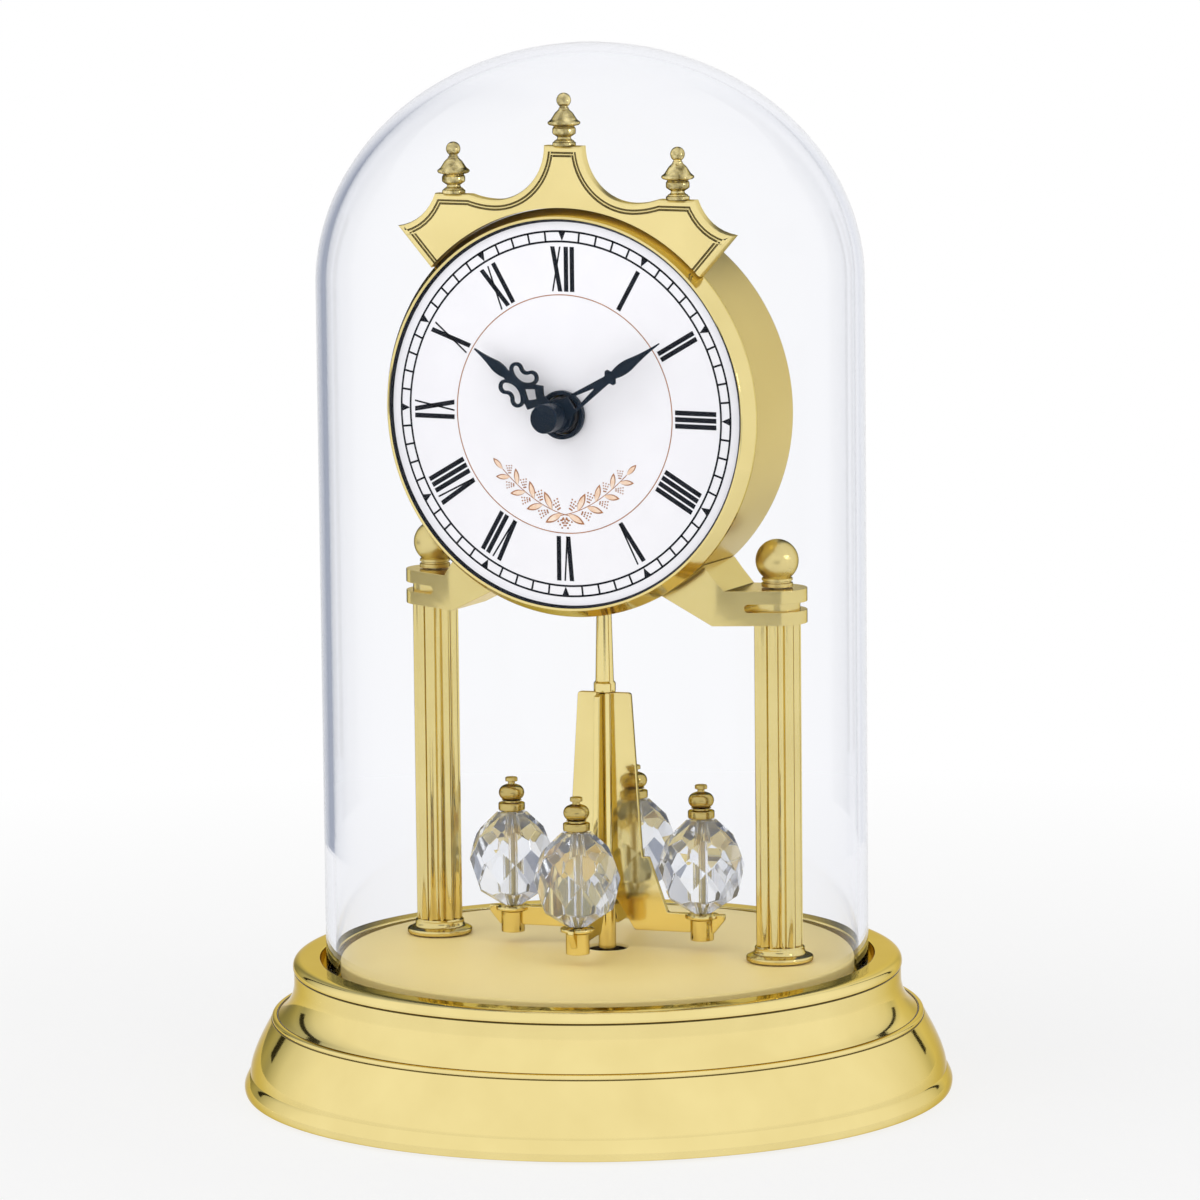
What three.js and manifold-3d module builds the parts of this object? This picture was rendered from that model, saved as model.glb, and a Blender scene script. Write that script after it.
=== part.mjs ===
// Glass dome clock with a revolving pendulum, in millimetres, +Z up.
// The origin is the centre of the base's underside, and the dial faces -Y.
import * as THREE from 'three';
import { ConvexGeometry } from 'three/addons/geometries/ConvexGeometry.js';
import { mergeVertices } from 'three/addons/utils/BufferGeometryUtils.js';
import Module from 'manifold-3d';

// Clearances
const SEAT_GAP = 0.3; // between pieces that rest on each other
const RUN_GAP = 0.3; // round a shaft or a shank in its hole
const EDGE_GAP = 0.4; // round a disc inside its ring
const CUT_MARGIN = 1; // how far a hole is cut past the face it opens on

// Base, from the felt up
const PAD_THICKNESS = 0.7;
const PAD_MARGIN = 5; // from the shell's inner edge in to the pad's edge
const COVER_THICKNESS = 1.6;
const SHELL_FOOT = 0.6; // the shell's lip stands this far off the table
const LIP_HEIGHT = 4.4;
const LIP_OVERHANG = 1.3;
const LIP_EDGE = 1.6; // upright part of the lip
const LIP_ROUND = 0.9;
const BELL_HEIGHT = 11.6;
const BELL_FLARE = 4.7;
const BELL_SHOULDER = 3.6; // how far up the bell stays nearly upright
const LEDGE_ROUND = 1.2;
const COVE_HEIGHT = 6.8;
const COVE_DEPTH = 4.9;
const COVE_RISE = 2.2; // how far up the cove its curve turns upright
const RIM_HEIGHT = 5.5;
const RIM_WIDTH = 6;
const RIM_ROUND = 2.8;
const RIM_CHAMFER = 0.5; // on the groove's edge
const GROOVE_DEPTH = 3.4;
const GROOVE_GAP = 1.3; // outside the dome's wall
const SHELL_WALL = 1.8;
const SHELL_LEDGE = 5; // how far the shell reaches in under the plate
const PLATE_PROUD = 0.4; // the plate stands this far above the rim
const PLATE_GAP = 1; // inside the dome's wall

// Pendulum guide in the plate
const GUIDE_RADIUS = 1.9;
const GUIDE_CHAMFER = 0.4;
const PLATE_HOLE_GAP = 2.5; // round the guide rod
const BUSH_FLANGE = 4.1; // past the plate's hole
const BUSH_HEIGHT = 2.2;
const BUSH_DEPTH = 1.2; // how far the guide rod runs into the bush

// Columns
const COLUMN_RADIUS = 5.05;
const FLUTE_COUNT = 12;
const FLUTE_STEPS = 4; // sides along each flute
const FLUTE_DEPTH = 0.7;
const FOOT_FLARE = 2.05; // foot flange past its neck
const FOOT_NECK = 0.3; // neck past the column
const FOOT_HEIGHT = 3.2;
const FOOT_EDGE = 1; // upright edge of the foot flange
const FOOT_CHAMFER = 0.4;
const ROD_RADIUS = 1.6;
const ROD_TAIL = 1; // rod below its nut
const ROD_IN_BALL = 4.5;
const NUT_RADIUS = 3.6;
const NUT_HEIGHT = 2.4;
const BALL_RADIUS = 4.6;
const BALL_NECK_RADIUS = 2.95;
const BALL_NECK_HEIGHT = 0.9;
const BALL_COLLAR = 0.4; // collar past the ball's neck
const BALL_COLLAR_HEIGHT = 1.1;
const COLUMN_INSET = 1.9; // column axis inside the drum's side
const AXIS_BACK = 5; // columns and pendulum stand behind the base's centre

// Brackets
const BAR_HEIGHT = 7.5;
const BAR_END_RADIUS = 6.4;
const BAR_SHOULDER = 7.7; // foot of the sloping top, in from the column's axis
const BAR_KNEE = 2.4; // front corner, in from that foot
const BRACKET_FRONT = 11.4; // front face, ahead of the column's axis
const BRACKET_BACK = 4.6; // back face, behind the column's axis
const ROOT_ANGLE = 26; // lower end of the root on the drum, degrees from straight down
const ROOT_SPAN = 16.4; // degrees
const SLOT_HEIGHT = 1.8;
const SLOT_DEPTH = 1.5;
const SLOT_REACH = 3; // past the column's axis

// Drum
const DRUM_ROOM = 3; // between the inner wall and the corners of what it holds
const DRUM_WALL = 1.6;
const DRUM_FRONT_WALL = 1.2;
const DRUM_SINK = 5.7; // lowest point below the tops of the brackets
const STEM_HOLE_GAP = 1.4;
const BACK_ROOM = 3.5; // between the movement and the back cover
const BACK_COVER_THICKNESS = 1.8;
const BACK_LEDGE_WIDTH = 1.6;
const BACK_LEDGE_THICKNESS = 1.5;
const BACK_WINDOW_GAP = 0.5; // round the movement

// Dial and bezel
const DIAL_FRONT = 13.4; // ahead of the base's centre
const DIAL_THICKNESS = 0.8;
const BEZEL_OVERHANG = 0.8; // outside the drum
const BEZEL_LIP = 2.7; // over the dial's edge
const BEZEL_CROWN = 1.6; // ahead of the dial
const BEZEL_DEPTH = 3.2; // behind the dial's face
const BEZEL_SLEEVE = 0.5;

// Crest
const CREST_THICKNESS = 2.4;
const CREST_BACK = 10.6; // back face, ahead of the base's centre
const CREST_TOP_RISE = 13.3; // above the bezel
const CREST_DIP_RISE = 1.5;
const CREST_SHOULDER_RISE = 2.5;
const CREST_TOP_WIDTH = 9;
const CREST_SWEEP = 11.8; // from the top's corner out to the dip
const CREST_DIP_WIDTH = 6.1;
const CREST_SHOULDER_WIDTH = 8.4;
const CREST_TIP_RISE = 12;
const CREST_END_ANGLE = 46.5; // outer foot, degrees from straight up
const CREST_END_LEAN = 1; // the tip stands this many degrees inside the foot
const CREST_END_BOW = 1.7; // hollow of the curve from shoulder to tip
const CREST_BORDER = 1.8;
const CREST_PANEL_DEPTH = 0.6;

// Finials, from the flange up
const FINIAL_FLANGE_RADIUS = 2.65;
const FINIAL_FLANGE_HEIGHT = 0.9;
const FINIAL_WAIST_RADIUS = 1.75;
const FINIAL_WAIST_HEIGHT = 1.2;
const FINIAL_BODY_RADIUS = 3.8;
const FINIAL_BOWL_HEIGHT = 2.2;
const FINIAL_BODY_EDGE = 0.4; // upright edge at the widest place
const FINIAL_CONE_HEIGHT = 3.2;
const FINIAL_NECK_RADIUS = 0.95;
const FINIAL_BALL_RADIUS = 1.6;

// Movement
const MOVEMENT_HEIGHT = 50;
const MOVEMENT_SIDE_WALL = 1.65; // at each end of the battery bay
const MOVEMENT_TOP_WALL = 2.6; // above the battery bay
const MOVEMENT_FRONT_WALL = 1; // ahead of the battery bay
const NECK_RADIUS = 4;
const DIAL_NUT_WALL = 1.1;
const DIAL_NUT_THICKNESS = 1.4;
const BATTERY_RADIUS = 7.1;
const BATTERY_LENGTH = 50.5;
const BATTERY_NUB_RADIUS = 2.6;
const BATTERY_NUB_LENGTH = 1;
const CONTACT_THICKNESS = 0.5;
const CONTACT_WIDTH = 10;
const DRIVE_WIDTH = 24;
const DRIVE_HEIGHT = 11.4;
const DRIVE_BEHIND_AXIS = 2.8;
const DRIVE_AHEAD_OF_AXIS = 8;

// Hands, set to just after nine minutes past ten
const MINUTE_ANGLE = 56.5; // degrees clockwise from twelve
const HOUR_ANGLE = 304.7;
const HAND_THICKNESS = 0.6;
const HAND_STROKE = 0.9; // width of the bars round each opening
const HAND_BOSS_PROUD = 0.5;
const HAND_BOSS_GAP = 0.4;
const HAND_POINT = 0.25; // half-width of a hand's tip
const MINUTE_BOSS_RADIUS = 3;
const MINUTE_LOOP_LENGTH = 13.2; // from the boss out to the knuckle
const MINUTE_LOOP_WIDTH = 5;
const MINUTE_LOOP_TAPER = 1.6; // half-width lost between the boss and the knuckle
const MINUTE_OPENING_LENGTH = 7;
const MINUTE_KNUCKLE_WIDTH = 3.6;
const MINUTE_KNUCKLE_LENGTH = 1.4;
const MINUTE_LEAF_LENGTH = 13.4;
const MINUTE_LEAF_WIDTH = 2.6;
const HOUR_BOSS_RADIUS = 3.6;
const HOUR_WINDOW_GAP = 2.4; // from the boss out to the diamond window
const HOUR_WINDOW_LENGTH = 3.2;
const HOUR_WINDOW_WIDTH = 3;
const HOUR_LOOP_GAP = 2.4; // from the window out to the middle of the side loops
const HOUR_LOOP_SIDE = 4.3; // centre of each loop's bend, from the hand's middle line
const HOUR_LOOP_RADIUS = 2.6;
const HOUR_LOOP_WIDTH = 1.7;
const HOUR_LOOP_START = 140; // degrees round the bend
const HOUR_LOOP_END = 240;
const HOUR_LEAF_GAP = 2.6; // from the middle of the loops out to the leaf
const HOUR_LEAF_LENGTH = 9.2;
const HOUR_LEAF_WIDTH = 2.3;
const LEAF_ROOT_SHARE = 0.55; // width of a leaf's root, as a share of its widest place
const LEAF_WIDEST_SHARE = 0.33; // how far along a leaf is widest
const LEAF_WAIST_SHARE = 0.6; // how far along it has narrowed to its thin point
const ARBOR_RADIUS = 1.2;
const PIPE_WALL = 0.6;
const PIPE_IN_NECK = 6;
const HAND_KNOB_RADIUS = 3.2;
const HAND_KNOB_LENGTH = 4.1;
const SET_KNOB_RADIUS = 5;
const SET_KNOB_LENGTH = 4.4;
const KNOB_GRIP = 2.3; // length of arbor inside each knob
const KNOB_CHAMFER = 0.4;

// Pendulum, from the cups up
const PENDULUM_ANGLE = 9; // degrees about +Z at rest
const CUP_CLEARANCE = 2.5; // above the plate
const CUP_RADIUS = 2.55;
const CUP_HEIGHT = 4.6;
const CUP_FLANGE = 1.15; // flange past the cup
const CUP_FLANGE_HEIGHT = 1.2;
const CUP_FLANGE_SLOPE = 0.5;
const ARM_HEIGHT = 4.2;
const ARM_OVERHANG = 5.2; // past the cup's axis
const ARM_CUT = 2.4; // slant of the arm's outer end
const ARM_ROOT = 6.5; // where the arm's lower edge starts to rise
const ARCH_HEIGHT = 7.5; // rise of the lower edge at the hub
const FIN_THICKNESS = 1.3;
const FIN_TOP_RADIUS = 6;
const FIN_FOOT_RADIUS = 8.3;
const FIN_STEP = 1.5;
const FIN_HEIGHT = 36; // from the step up
const FIN_ROUND = 0.8;
const FLARE_SPREAD = 4.2; // from the step out to the foot of the flare
const FLARE_HEIGHT = 12;
const HUB_RADIUS = 1.9;
const STEM_SHOWN = 19.4; // between the rotor and the drum
const STEM_TOP_RADIUS = 1.6;
const STEM_FOOT_RADIUS = 2;
const STEM_COLLAR_RADIUS = 2.4;
const STEM_COLLAR_HEIGHT = 2.2;
const STEM_COLLAR_SLOPE = 0.4;
const SPINDLE_LENGTH = 4; // inside the drive
const PIN_RADIUS = 0.8; // stem and guide pins in the rotor
const PIN_LENGTH = 4;
const PENDULUM_ROOM = 4; // between the turning drops and the columns

// Faceted drops and their caps
const DROP_SIDES = 8;
const DROP_FOOT_RADIUS = 2.2; // these radii are to the middle of the facets
const DROP_LOW_RADIUS = 7.2;
const DROP_BELLY_RADIUS = 8.6;
const DROP_RADIUS = 8.8;
const DROP_HIGH_RADIUS = 7.2;
const DROP_TOP_RADIUS = 3;
const DROP_FOOT_ROW = 3.4; // these heights are of each row of facets
const DROP_LOW_ROW = 4.4;
const DROP_BELLY_ROW = 3.9;
const DROP_HIGH_ROW = 4.5;
const DROP_TOP_ROW = 4.3;
const DROP_ROOM = 3; // between a drop and the fin's step
const SHANK_RADIUS = 0.7;
const SHANK_IN_CUP = 3;
const CAP_DISC_RADIUS = 2.9;
const CAP_DISC_HEIGHT = 1.7;
const CAP_NECK_RADIUS = 1.7;
const CAP_NECK_HEIGHT = 0.5;
const CAP_BULB_RADIUS = 2.8;
const CAP_BULB_HEIGHT = 3.4;
const CAP_STALK_RADIUS = 0.8;
const CAP_STALK_HEIGHT = 0.8;
const CAP_BUTTON_RADIUS = 1.35;
const CAP_BUTTON_HEIGHT = 0.9;

// Dome
const DOME_WALL = 2.1;
const DOME_SIDE_ROOM = 7.9; // round the column feet
const DOME_HEADROOM = 7.8; // above the centre finial
const DOME_CAP_HEIGHT = 51.5;

// Counts of sides on round pieces
const WIDE_SIDES = 40;
const BALL_SIDES = 14;
const SMALL_SIDES = 10;
const NUT_SIDES = 6;

// Counts of steps along curves
const BALL_STEPS = 6;
const FINIAL_BALL_STEPS = 4;
const CROWN_STEPS = 7;
const BRACKET_END_STEPS = 7;
const BRACKET_ROOT_STEPS = 6;
const CREST_SWEEP_STEPS = 7;
const CREST_FOOT_STEPS = 12;
const LOOP_STEPS = 4;

// Points closer than these are one
const SAME_POINT = 1e-4;
const SAME_CORNER = 0.03;

// Places worked out from the sizes above: widths
const BAY_HALF_HEIGHT = BATTERY_RADIUS + SEAT_GAP;
const BAY_HALF_LENGTH = BATTERY_LENGTH / 2 + CONTACT_THICKNESS + 2 * SEAT_GAP;
const MOVEMENT_HALF_WIDTH = BAY_HALF_LENGTH + MOVEMENT_SIDE_WALL;
const MOVEMENT_HALF_HEIGHT = MOVEMENT_HEIGHT / 2;
const MOVEMENT_DEPTH = BATTERY_RADIUS + BAY_HALF_HEIGHT + MOVEMENT_FRONT_WALL;
const BATTERY_RISE = MOVEMENT_HALF_HEIGHT - MOVEMENT_TOP_WALL - BAY_HALF_HEIGHT;
const DRIVE_DROP = MOVEMENT_HALF_HEIGHT + SEAT_GAP + DRIVE_HEIGHT;
const MOVEMENT_REACH = Math.hypot(MOVEMENT_HALF_WIDTH, MOVEMENT_HALF_HEIGHT);
const DRIVE_REACH = Math.hypot(DRIVE_WIDTH / 2, DRIVE_DROP);
const DRUM_INNER_RADIUS = Math.max(MOVEMENT_REACH, DRIVE_REACH) + DRUM_ROOM;
const DRUM_RADIUS = DRUM_INNER_RADIUS + DRUM_WALL;
const BEZEL_RADIUS = DRUM_RADIUS + BEZEL_OVERHANG;

const FLARE_RADIUS = FIN_FOOT_RADIUS + FIN_STEP + FLARE_SPREAD;
const ARM_RADIUS = FIN_FOOT_RADIUS + FIN_STEP + DROP_ROOM + DROP_RADIUS;
const ARM_END = ARM_RADIUS + ARM_OVERHANG;
const CUP_FLANGE_RADIUS = CUP_RADIUS + CUP_FLANGE;
const FOOT_NECK_RADIUS = COLUMN_RADIUS + FOOT_NECK;
const FOOT_RADIUS = FOOT_NECK_RADIUS + FOOT_FLARE;
const PENDULUM_REACH = ARM_RADIUS + Math.max(DROP_RADIUS, ARM_OVERHANG);
const COLUMN_X = Math.max(DRUM_RADIUS - COLUMN_INSET, PENDULUM_REACH + PENDULUM_ROOM + COLUMN_RADIUS);

const DOME_INNER_RADIUS = Math.hypot(COLUMN_X, AXIS_BACK) + FOOT_RADIUS + DOME_SIDE_ROOM;
const DOME_RADIUS = DOME_INNER_RADIUS + DOME_WALL;
const GROOVE_RADIUS = DOME_RADIUS + GROOVE_GAP;
const RIM_RADIUS = GROOVE_RADIUS + RIM_WIDTH;
const LEDGE_RADIUS = RIM_RADIUS + COVE_DEPTH;
const BELL_RADIUS = LEDGE_RADIUS + BELL_FLARE;
const BASE_RADIUS = BELL_RADIUS + LIP_OVERHANG;
const SHELL_MOUTH = BELL_RADIUS - SHELL_WALL;
const PLATE_RADIUS = DOME_INNER_RADIUS - PLATE_GAP;
const PLATE_HOLE_RADIUS = GUIDE_RADIUS + PLATE_HOLE_GAP;

// Heights, from the base up
const COVER_Z = PAD_THICKNESS + SEAT_GAP;
const BELL_Z = SHELL_FOOT + LIP_HEIGHT;
const LEDGE_Z = BELL_Z + BELL_HEIGHT;
const COVE_Z = LEDGE_Z + LEDGE_ROUND;
const RIM_Z = COVE_Z + COVE_HEIGHT;
const RIM_TOP_Z = RIM_Z + RIM_HEIGHT;
const GROOVE_Z = RIM_TOP_Z - GROOVE_DEPTH;
const PLATE_TOP_Z = RIM_TOP_Z + PLATE_PROUD;
const PLATE_BOTTOM_Z = GROOVE_Z + SEAT_GAP;
const BUSH_TOP_Z = PLATE_BOTTOM_Z - SEAT_GAP;
const NUT_Z = PLATE_BOTTOM_Z - SEAT_GAP - NUT_HEIGHT;
const GUIDE_Z = BUSH_TOP_Z - BUSH_DEPTH;

const CUP_Z = PLATE_TOP_Z + CUP_CLEARANCE;
const CUP_FLANGE_Z = CUP_Z + CUP_HEIGHT;
const CUP_TOP_Z = CUP_FLANGE_Z + CUP_FLANGE_HEIGHT;
const ARM_Z = CUP_TOP_Z - ARM_HEIGHT;
const ARCH_Z = ARM_Z + ARCH_HEIGHT;
const STEP_Z = CUP_TOP_Z + FLARE_HEIGHT;
const FIN_TOP_Z = STEP_Z + FIN_HEIGHT;
const DROP_Z = CUP_TOP_Z + SEAT_GAP;
const DROP_LOW_Z = DROP_Z + DROP_FOOT_ROW;
const DROP_BELLY_Z = DROP_LOW_Z + DROP_LOW_ROW;
const DROP_WIDEST_Z = DROP_BELLY_Z + DROP_BELLY_ROW;
const DROP_HIGH_Z = DROP_WIDEST_Z + DROP_HIGH_ROW;
const DROP_TOP_Z = DROP_HIGH_Z + DROP_TOP_ROW;
const CAP_Z = DROP_TOP_Z + SEAT_GAP;
const STEM_Z = FIN_TOP_Z + SEAT_GAP;

const DRUM_BOTTOM_Z = FIN_TOP_Z + STEM_SHOWN;
const HEAD_Z = DRUM_BOTTOM_Z + DRUM_RADIUS;
const DRIVE_Z = HEAD_Z - DRIVE_DROP;
const BAR_TOP_Z = DRUM_BOTTOM_Z + DRUM_SINK;
const BAR_Z = BAR_TOP_Z - BAR_HEIGHT;
const FOOT_Z = PLATE_TOP_Z + SEAT_GAP;
const COLUMN_Z = FOOT_Z + FOOT_HEIGHT + SEAT_GAP;
const COLUMN_TOP_Z = BAR_Z - SEAT_GAP;
const BALL_Z = BAR_TOP_Z + SEAT_GAP;

// Depths in the head, counted forwards from the base's centre
const DIAL_BACK = DIAL_FRONT - DIAL_THICKNESS;
const DRUM_FRONT = DIAL_BACK - SEAT_GAP;
const MOVEMENT_FRONT = DRUM_FRONT - DRUM_FRONT_WALL - SEAT_GAP;
const MOVEMENT_REAR = MOVEMENT_FRONT - MOVEMENT_DEPTH;
const BATTERY_DEPTH = MOVEMENT_REAR + BATTERY_RADIUS;
const DRIVE_REAR = -AXIS_BACK - DRIVE_BEHIND_AXIS;
const BACK_COVER_FRONT = Math.min(MOVEMENT_REAR - BACK_ROOM, DRIVE_REAR - EDGE_GAP);
const DRUM_REAR = BACK_COVER_FRONT - BACK_COVER_THICKNESS;
const NUT_BACK = DIAL_FRONT + SEAT_GAP;
const NUT_FRONT = NUT_BACK + DIAL_NUT_THICKNESS;
const HAND_BOSS_LENGTH = HAND_THICKNESS + 2 * HAND_BOSS_PROUD;
const HOUR_BOSS_BACK = NUT_FRONT + HAND_BOSS_GAP;
const HOUR_BOSS_FRONT = HOUR_BOSS_BACK + HAND_BOSS_LENGTH;
const MINUTE_BOSS_BACK = HOUR_BOSS_FRONT + HAND_BOSS_GAP;
const MINUTE_BOSS_FRONT = MINUTE_BOSS_BACK + HAND_BOSS_LENGTH;
const HAND_KNOB_BACK = MINUTE_BOSS_FRONT + SEAT_GAP;
const ARBOR_HOLE = ARBOR_RADIUS + RUN_GAP;
const PIPE_RADIUS = ARBOR_HOLE + PIPE_WALL;
const PIPE_HOLE = PIPE_RADIUS + RUN_GAP;
const PIPE_BACK = NUT_FRONT - PIPE_IN_NECK;
const NECK_HOLE = NECK_RADIUS + RUN_GAP;
const ROD_HOLE = ROD_RADIUS + RUN_GAP;
const SET_KNOB_FRONT = MOVEMENT_REAR - SEAT_GAP;

// Crest, seen from the front and counted from the dial's centre
const CREST_FOOT_RADIUS = BEZEL_RADIUS + SEAT_GAP;
const CREST_TOP = BEZEL_RADIUS + CREST_TOP_RISE;
const CREST_DIP = BEZEL_RADIUS + CREST_DIP_RISE;
const CREST_SHOULDER = BEZEL_RADIUS + CREST_SHOULDER_RISE;
const CREST_DIP_X = CREST_TOP_WIDTH / 2 + CREST_SWEEP;
const CREST_SHOULDER_X = CREST_DIP_X + CREST_DIP_WIDTH;
const CREST_SHOULDER_END = CREST_SHOULDER_X + CREST_SHOULDER_WIDTH;

const FINIAL_WAIST_TOP = FINIAL_FLANGE_HEIGHT + FINIAL_WAIST_HEIGHT;
const FINIAL_WIDEST = FINIAL_WAIST_TOP + FINIAL_BOWL_HEIGHT;
const FINIAL_CONE = FINIAL_WIDEST + FINIAL_BODY_EDGE;
const FINIAL_NECK = FINIAL_CONE + FINIAL_CONE_HEIGHT;
const FINIAL_HEIGHT = FINIAL_NECK + 2 * FINIAL_BALL_RADIUS;

const DOME_Z = GROOVE_Z + SEAT_GAP;
const FINIAL_TOP_Z = HEAD_Z + CREST_TOP + SEAT_GAP + FINIAL_HEIGHT;
const DOME_TOP_Z = FINIAL_TOP_Z + DOME_HEADROOM + DOME_WALL;
const DOME_SPRING_Z = DOME_TOP_Z - DOME_CAP_HEIGHT;

// Finishes
const finish = (color, roughness, metalness) =>
  new THREE.MeshStandardMaterial({ color, roughness, metalness });
const gold = finish(0xdecb82, 0.16, 1);
const brass = finish(0xb99a4e, 0.3, 1);
const steel = finish(0xb8bcc0, 0.35, 1);
const dialWhite = finish(0xf3f1f4, 0.5, 0);
const handBlue = finish(0x16202f, 0.35, 0);
const movementBlack = finish(0x1d1e20, 0.55, 0);
const batteryGreen = finish(0x3c5a46, 0.4, 0.2);
const felt = finish(0x2c3a30, 0.95, 0);
const glass = finish(0xe6ecf2, 0.03, 0);
glass.transparent = true;
glass.opacity = 0.3;

const wasm = await Module();
wasm.setup();

const radians = THREE.MathUtils.degToRad;
const QUARTER = Math.PI / 2;

// Solids

// A closed geometry as a solid that can be joined and cut.
function solidOf(geometry) {
  const bare = geometry.index ? geometry.toNonIndexed() : geometry.clone();
  bare.deleteAttribute('normal');
  bare.deleteAttribute('uv');
  const merged = mergeVertices(bare, SAME_POINT);
  const vertProperties = merged.attributes.position.array;
  const triVerts = new Uint32Array(merged.index.array);
  return new wasm.Manifold(new wasm.Mesh({ numProp: 3, vertProperties, triVerts }));
}

function geometryOf(solid) {
  const mesh = solid.getMesh();
  const geometry = new THREE.BufferGeometry();
  geometry.setAttribute('position', new THREE.BufferAttribute(mesh.vertProperties, 3));
  geometry.setIndex(new THREE.BufferAttribute(mesh.triVerts, 1));
  geometry.computeVertexNormals();
  return geometry;
}

const cut = (geometry, ...tools) =>
  geometryOf(tools.reduce((solid, tool) => solid.subtract(solidOf(tool)), solidOf(geometry)));

const join = (...geometries) =>
  geometryOf(geometries.map(solidOf).reduce((solid, other) => solid.add(other)));

const common = (first, second) => geometryOf(solidOf(first).intersect(solidOf(second)));

// A copy on the other side of the clock, with its faces turned back out.
function mirrored(geometry) {
  const copy = geometry.clone().scale(-1, 1, 1);
  const corners = copy.index.array;
  for (let i = 0; i < corners.length; i += 3) {
    [corners[i + 1], corners[i + 2]] = [corners[i + 2], corners[i + 1]];
  }
  return copy;
}

// Outlines are lists of [across, up] pairs.

const arc = ([x, y], radius, from, to, divisions) =>
  Array.from({ length: divisions + 1 }, (_, i) => {
    const angle = from + ((to - from) * i) / divisions;
    return [x + radius * Math.cos(angle), y + radius * Math.sin(angle)];
  });

const circle = (centre, radius, sides) => arc(centre, radius, 0, 2 * Math.PI, sides).slice(1);

// A step of one point is a straight run. A step of a control point, an end and a count is a curve.
function outline(start, ...steps) {
  const points = [new THREE.Vector2(...start)];
  for (const step of steps) {
    const from = points.at(-1);
    if (step.length === 1) {
      points.push(new THREE.Vector2(...step[0]));
    } else {
      const [control, end, divisions] = step;
      const ends = [control, end].map((point) => new THREE.Vector2(...point));
      points.push(...new THREE.QuadraticBezierCurve(from, ...ends).getPoints(divisions).slice(1));
    }
  }
  return points.map(({ x, y }) => [x, y]);
}

const bothSides = (points) => [...points.map(([x, y]) => [-x, y]).reverse(), ...points];

// A flat shape, with its outline to the left and its holes to the right.
function flat(points, ...holes) {
  const wound = (ring, sign) => {
    const corners = ring.map(([x, y]) => new THREE.Vector2(x, y));
    return THREE.ShapeUtils.area(corners) * sign < 0 ? corners.reverse() : corners;
  };
  const shape = new THREE.Shape(wound(points, 1));
  shape.holes = holes.map((hole) => new THREE.Path(wound(hole, -1)));
  return shape;
}

// A flat shape with its thickness along +Z, starting at low.
const plate = (shape, low, thickness) =>
  new THREE.ExtrudeGeometry(shape, { depth: thickness, bevelEnabled: false }).translate(0, 0, low);

// A closed profile of [radius, height] pairs, turned about +Z.
function turned(profile, sides) {
  const points = profile.map(([radius, height]) => new THREE.Vector2(radius, height));
  points.push(points[0].clone());
  if (THREE.ShapeUtils.area(points) < 0) points.reverse();
  return new THREE.LatheGeometry(points, sides).rotateX(QUARTER);
}

const rod = (radius, low, high, sides) =>
  turned([[0, low], [radius, low], [radius, high], [0, high]], sides);

const tube = (inner, outer, low, high, sides) =>
  turned([[inner, low], [outer, low], [outer, high], [inner, high]], sides);

// A block between two corners.
function block([x0, y0, z0], [x1, y1, z1]) {
  const geometry = new THREE.BoxGeometry(x1 - x0, y1 - y0, z1 - z0);
  return geometry.translate((x0 + x1) / 2, (y0 + y1) / 2, (z0 + z1) / 2);
}

// The profile of a ball that stands on a neck at the given height, up to its pole.
function ballOn(neckRadius, radius, height, steps) {
  const start = -Math.acos(Math.min(neckRadius / radius, 1));
  const centre = height - radius * Math.sin(start);
  return arc([0, centre], radius, start, QUARTER, steps).map(([x, y], i) => [i < steps ? x : 0, y]);
}

// Groups: the head is drawn as seen from the front, with +Z towards the viewer

const clock = new THREE.Group();
const head = new THREE.Group();
head.position.z = HEAD_Z;
head.rotation.x = QUARTER;
const pendulum = new THREE.Group();
pendulum.position.y = AXIS_BACK;
pendulum.rotation.z = radians(PENDULUM_ANGLE);
clock.add(head, pendulum);

function add(group, name, geometry, material) {
  const mesh = new THREE.Mesh(geometry, material);
  mesh.name = name;
  group.add(mesh);
  return mesh;
}

// Base

function baseShell() {
  const lipEdge = SHELL_FOOT + LIP_EDGE;
  const ledgeInner = PLATE_RADIUS - SHELL_LEDGE;
  const profile = outline(
    [BASE_RADIUS - LIP_ROUND, SHELL_FOOT],
    [[BASE_RADIUS, SHELL_FOOT], [BASE_RADIUS, lipEdge], 2],
    [[BASE_RADIUS, lipEdge + LIP_ROUND], [BELL_RADIUS, BELL_Z], 3],
    [[BELL_RADIUS, BELL_Z + BELL_SHOULDER], [LEDGE_RADIUS, LEDGE_Z], 4],
    [[LEDGE_RADIUS, COVE_Z], [LEDGE_RADIUS - LEDGE_ROUND, COVE_Z], 2],
    [[RIM_RADIUS, COVE_Z + COVE_RISE], [RIM_RADIUS, RIM_Z], 4],
    [[RIM_RADIUS, RIM_TOP_Z - RIM_ROUND]],
    [[RIM_RADIUS, RIM_TOP_Z], [RIM_RADIUS - RIM_ROUND, RIM_TOP_Z], 3],
    [[GROOVE_RADIUS + RIM_CHAMFER, RIM_TOP_Z]],
    [[GROOVE_RADIUS, RIM_TOP_Z - RIM_CHAMFER]],
    [[GROOVE_RADIUS, GROOVE_Z]],
    [[ledgeInner, GROOVE_Z]],
    [[ledgeInner, GROOVE_Z - SHELL_WALL]],
    [[RIM_RADIUS - SHELL_WALL, GROOVE_Z - SHELL_WALL]],
    [[RIM_RADIUS - SHELL_WALL, COVE_Z + COVE_RISE]],
    [[LEDGE_RADIUS - SHELL_WALL, LEDGE_Z - SHELL_WALL]],
    [[SHELL_MOUTH, BELL_Z]],
    [[SHELL_MOUTH, SHELL_FOOT]],
  );
  return turned(profile, WIDE_SIDES);
}

const columnPlaces = [['left', -COLUMN_X], ['right', COLUMN_X]];

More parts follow.
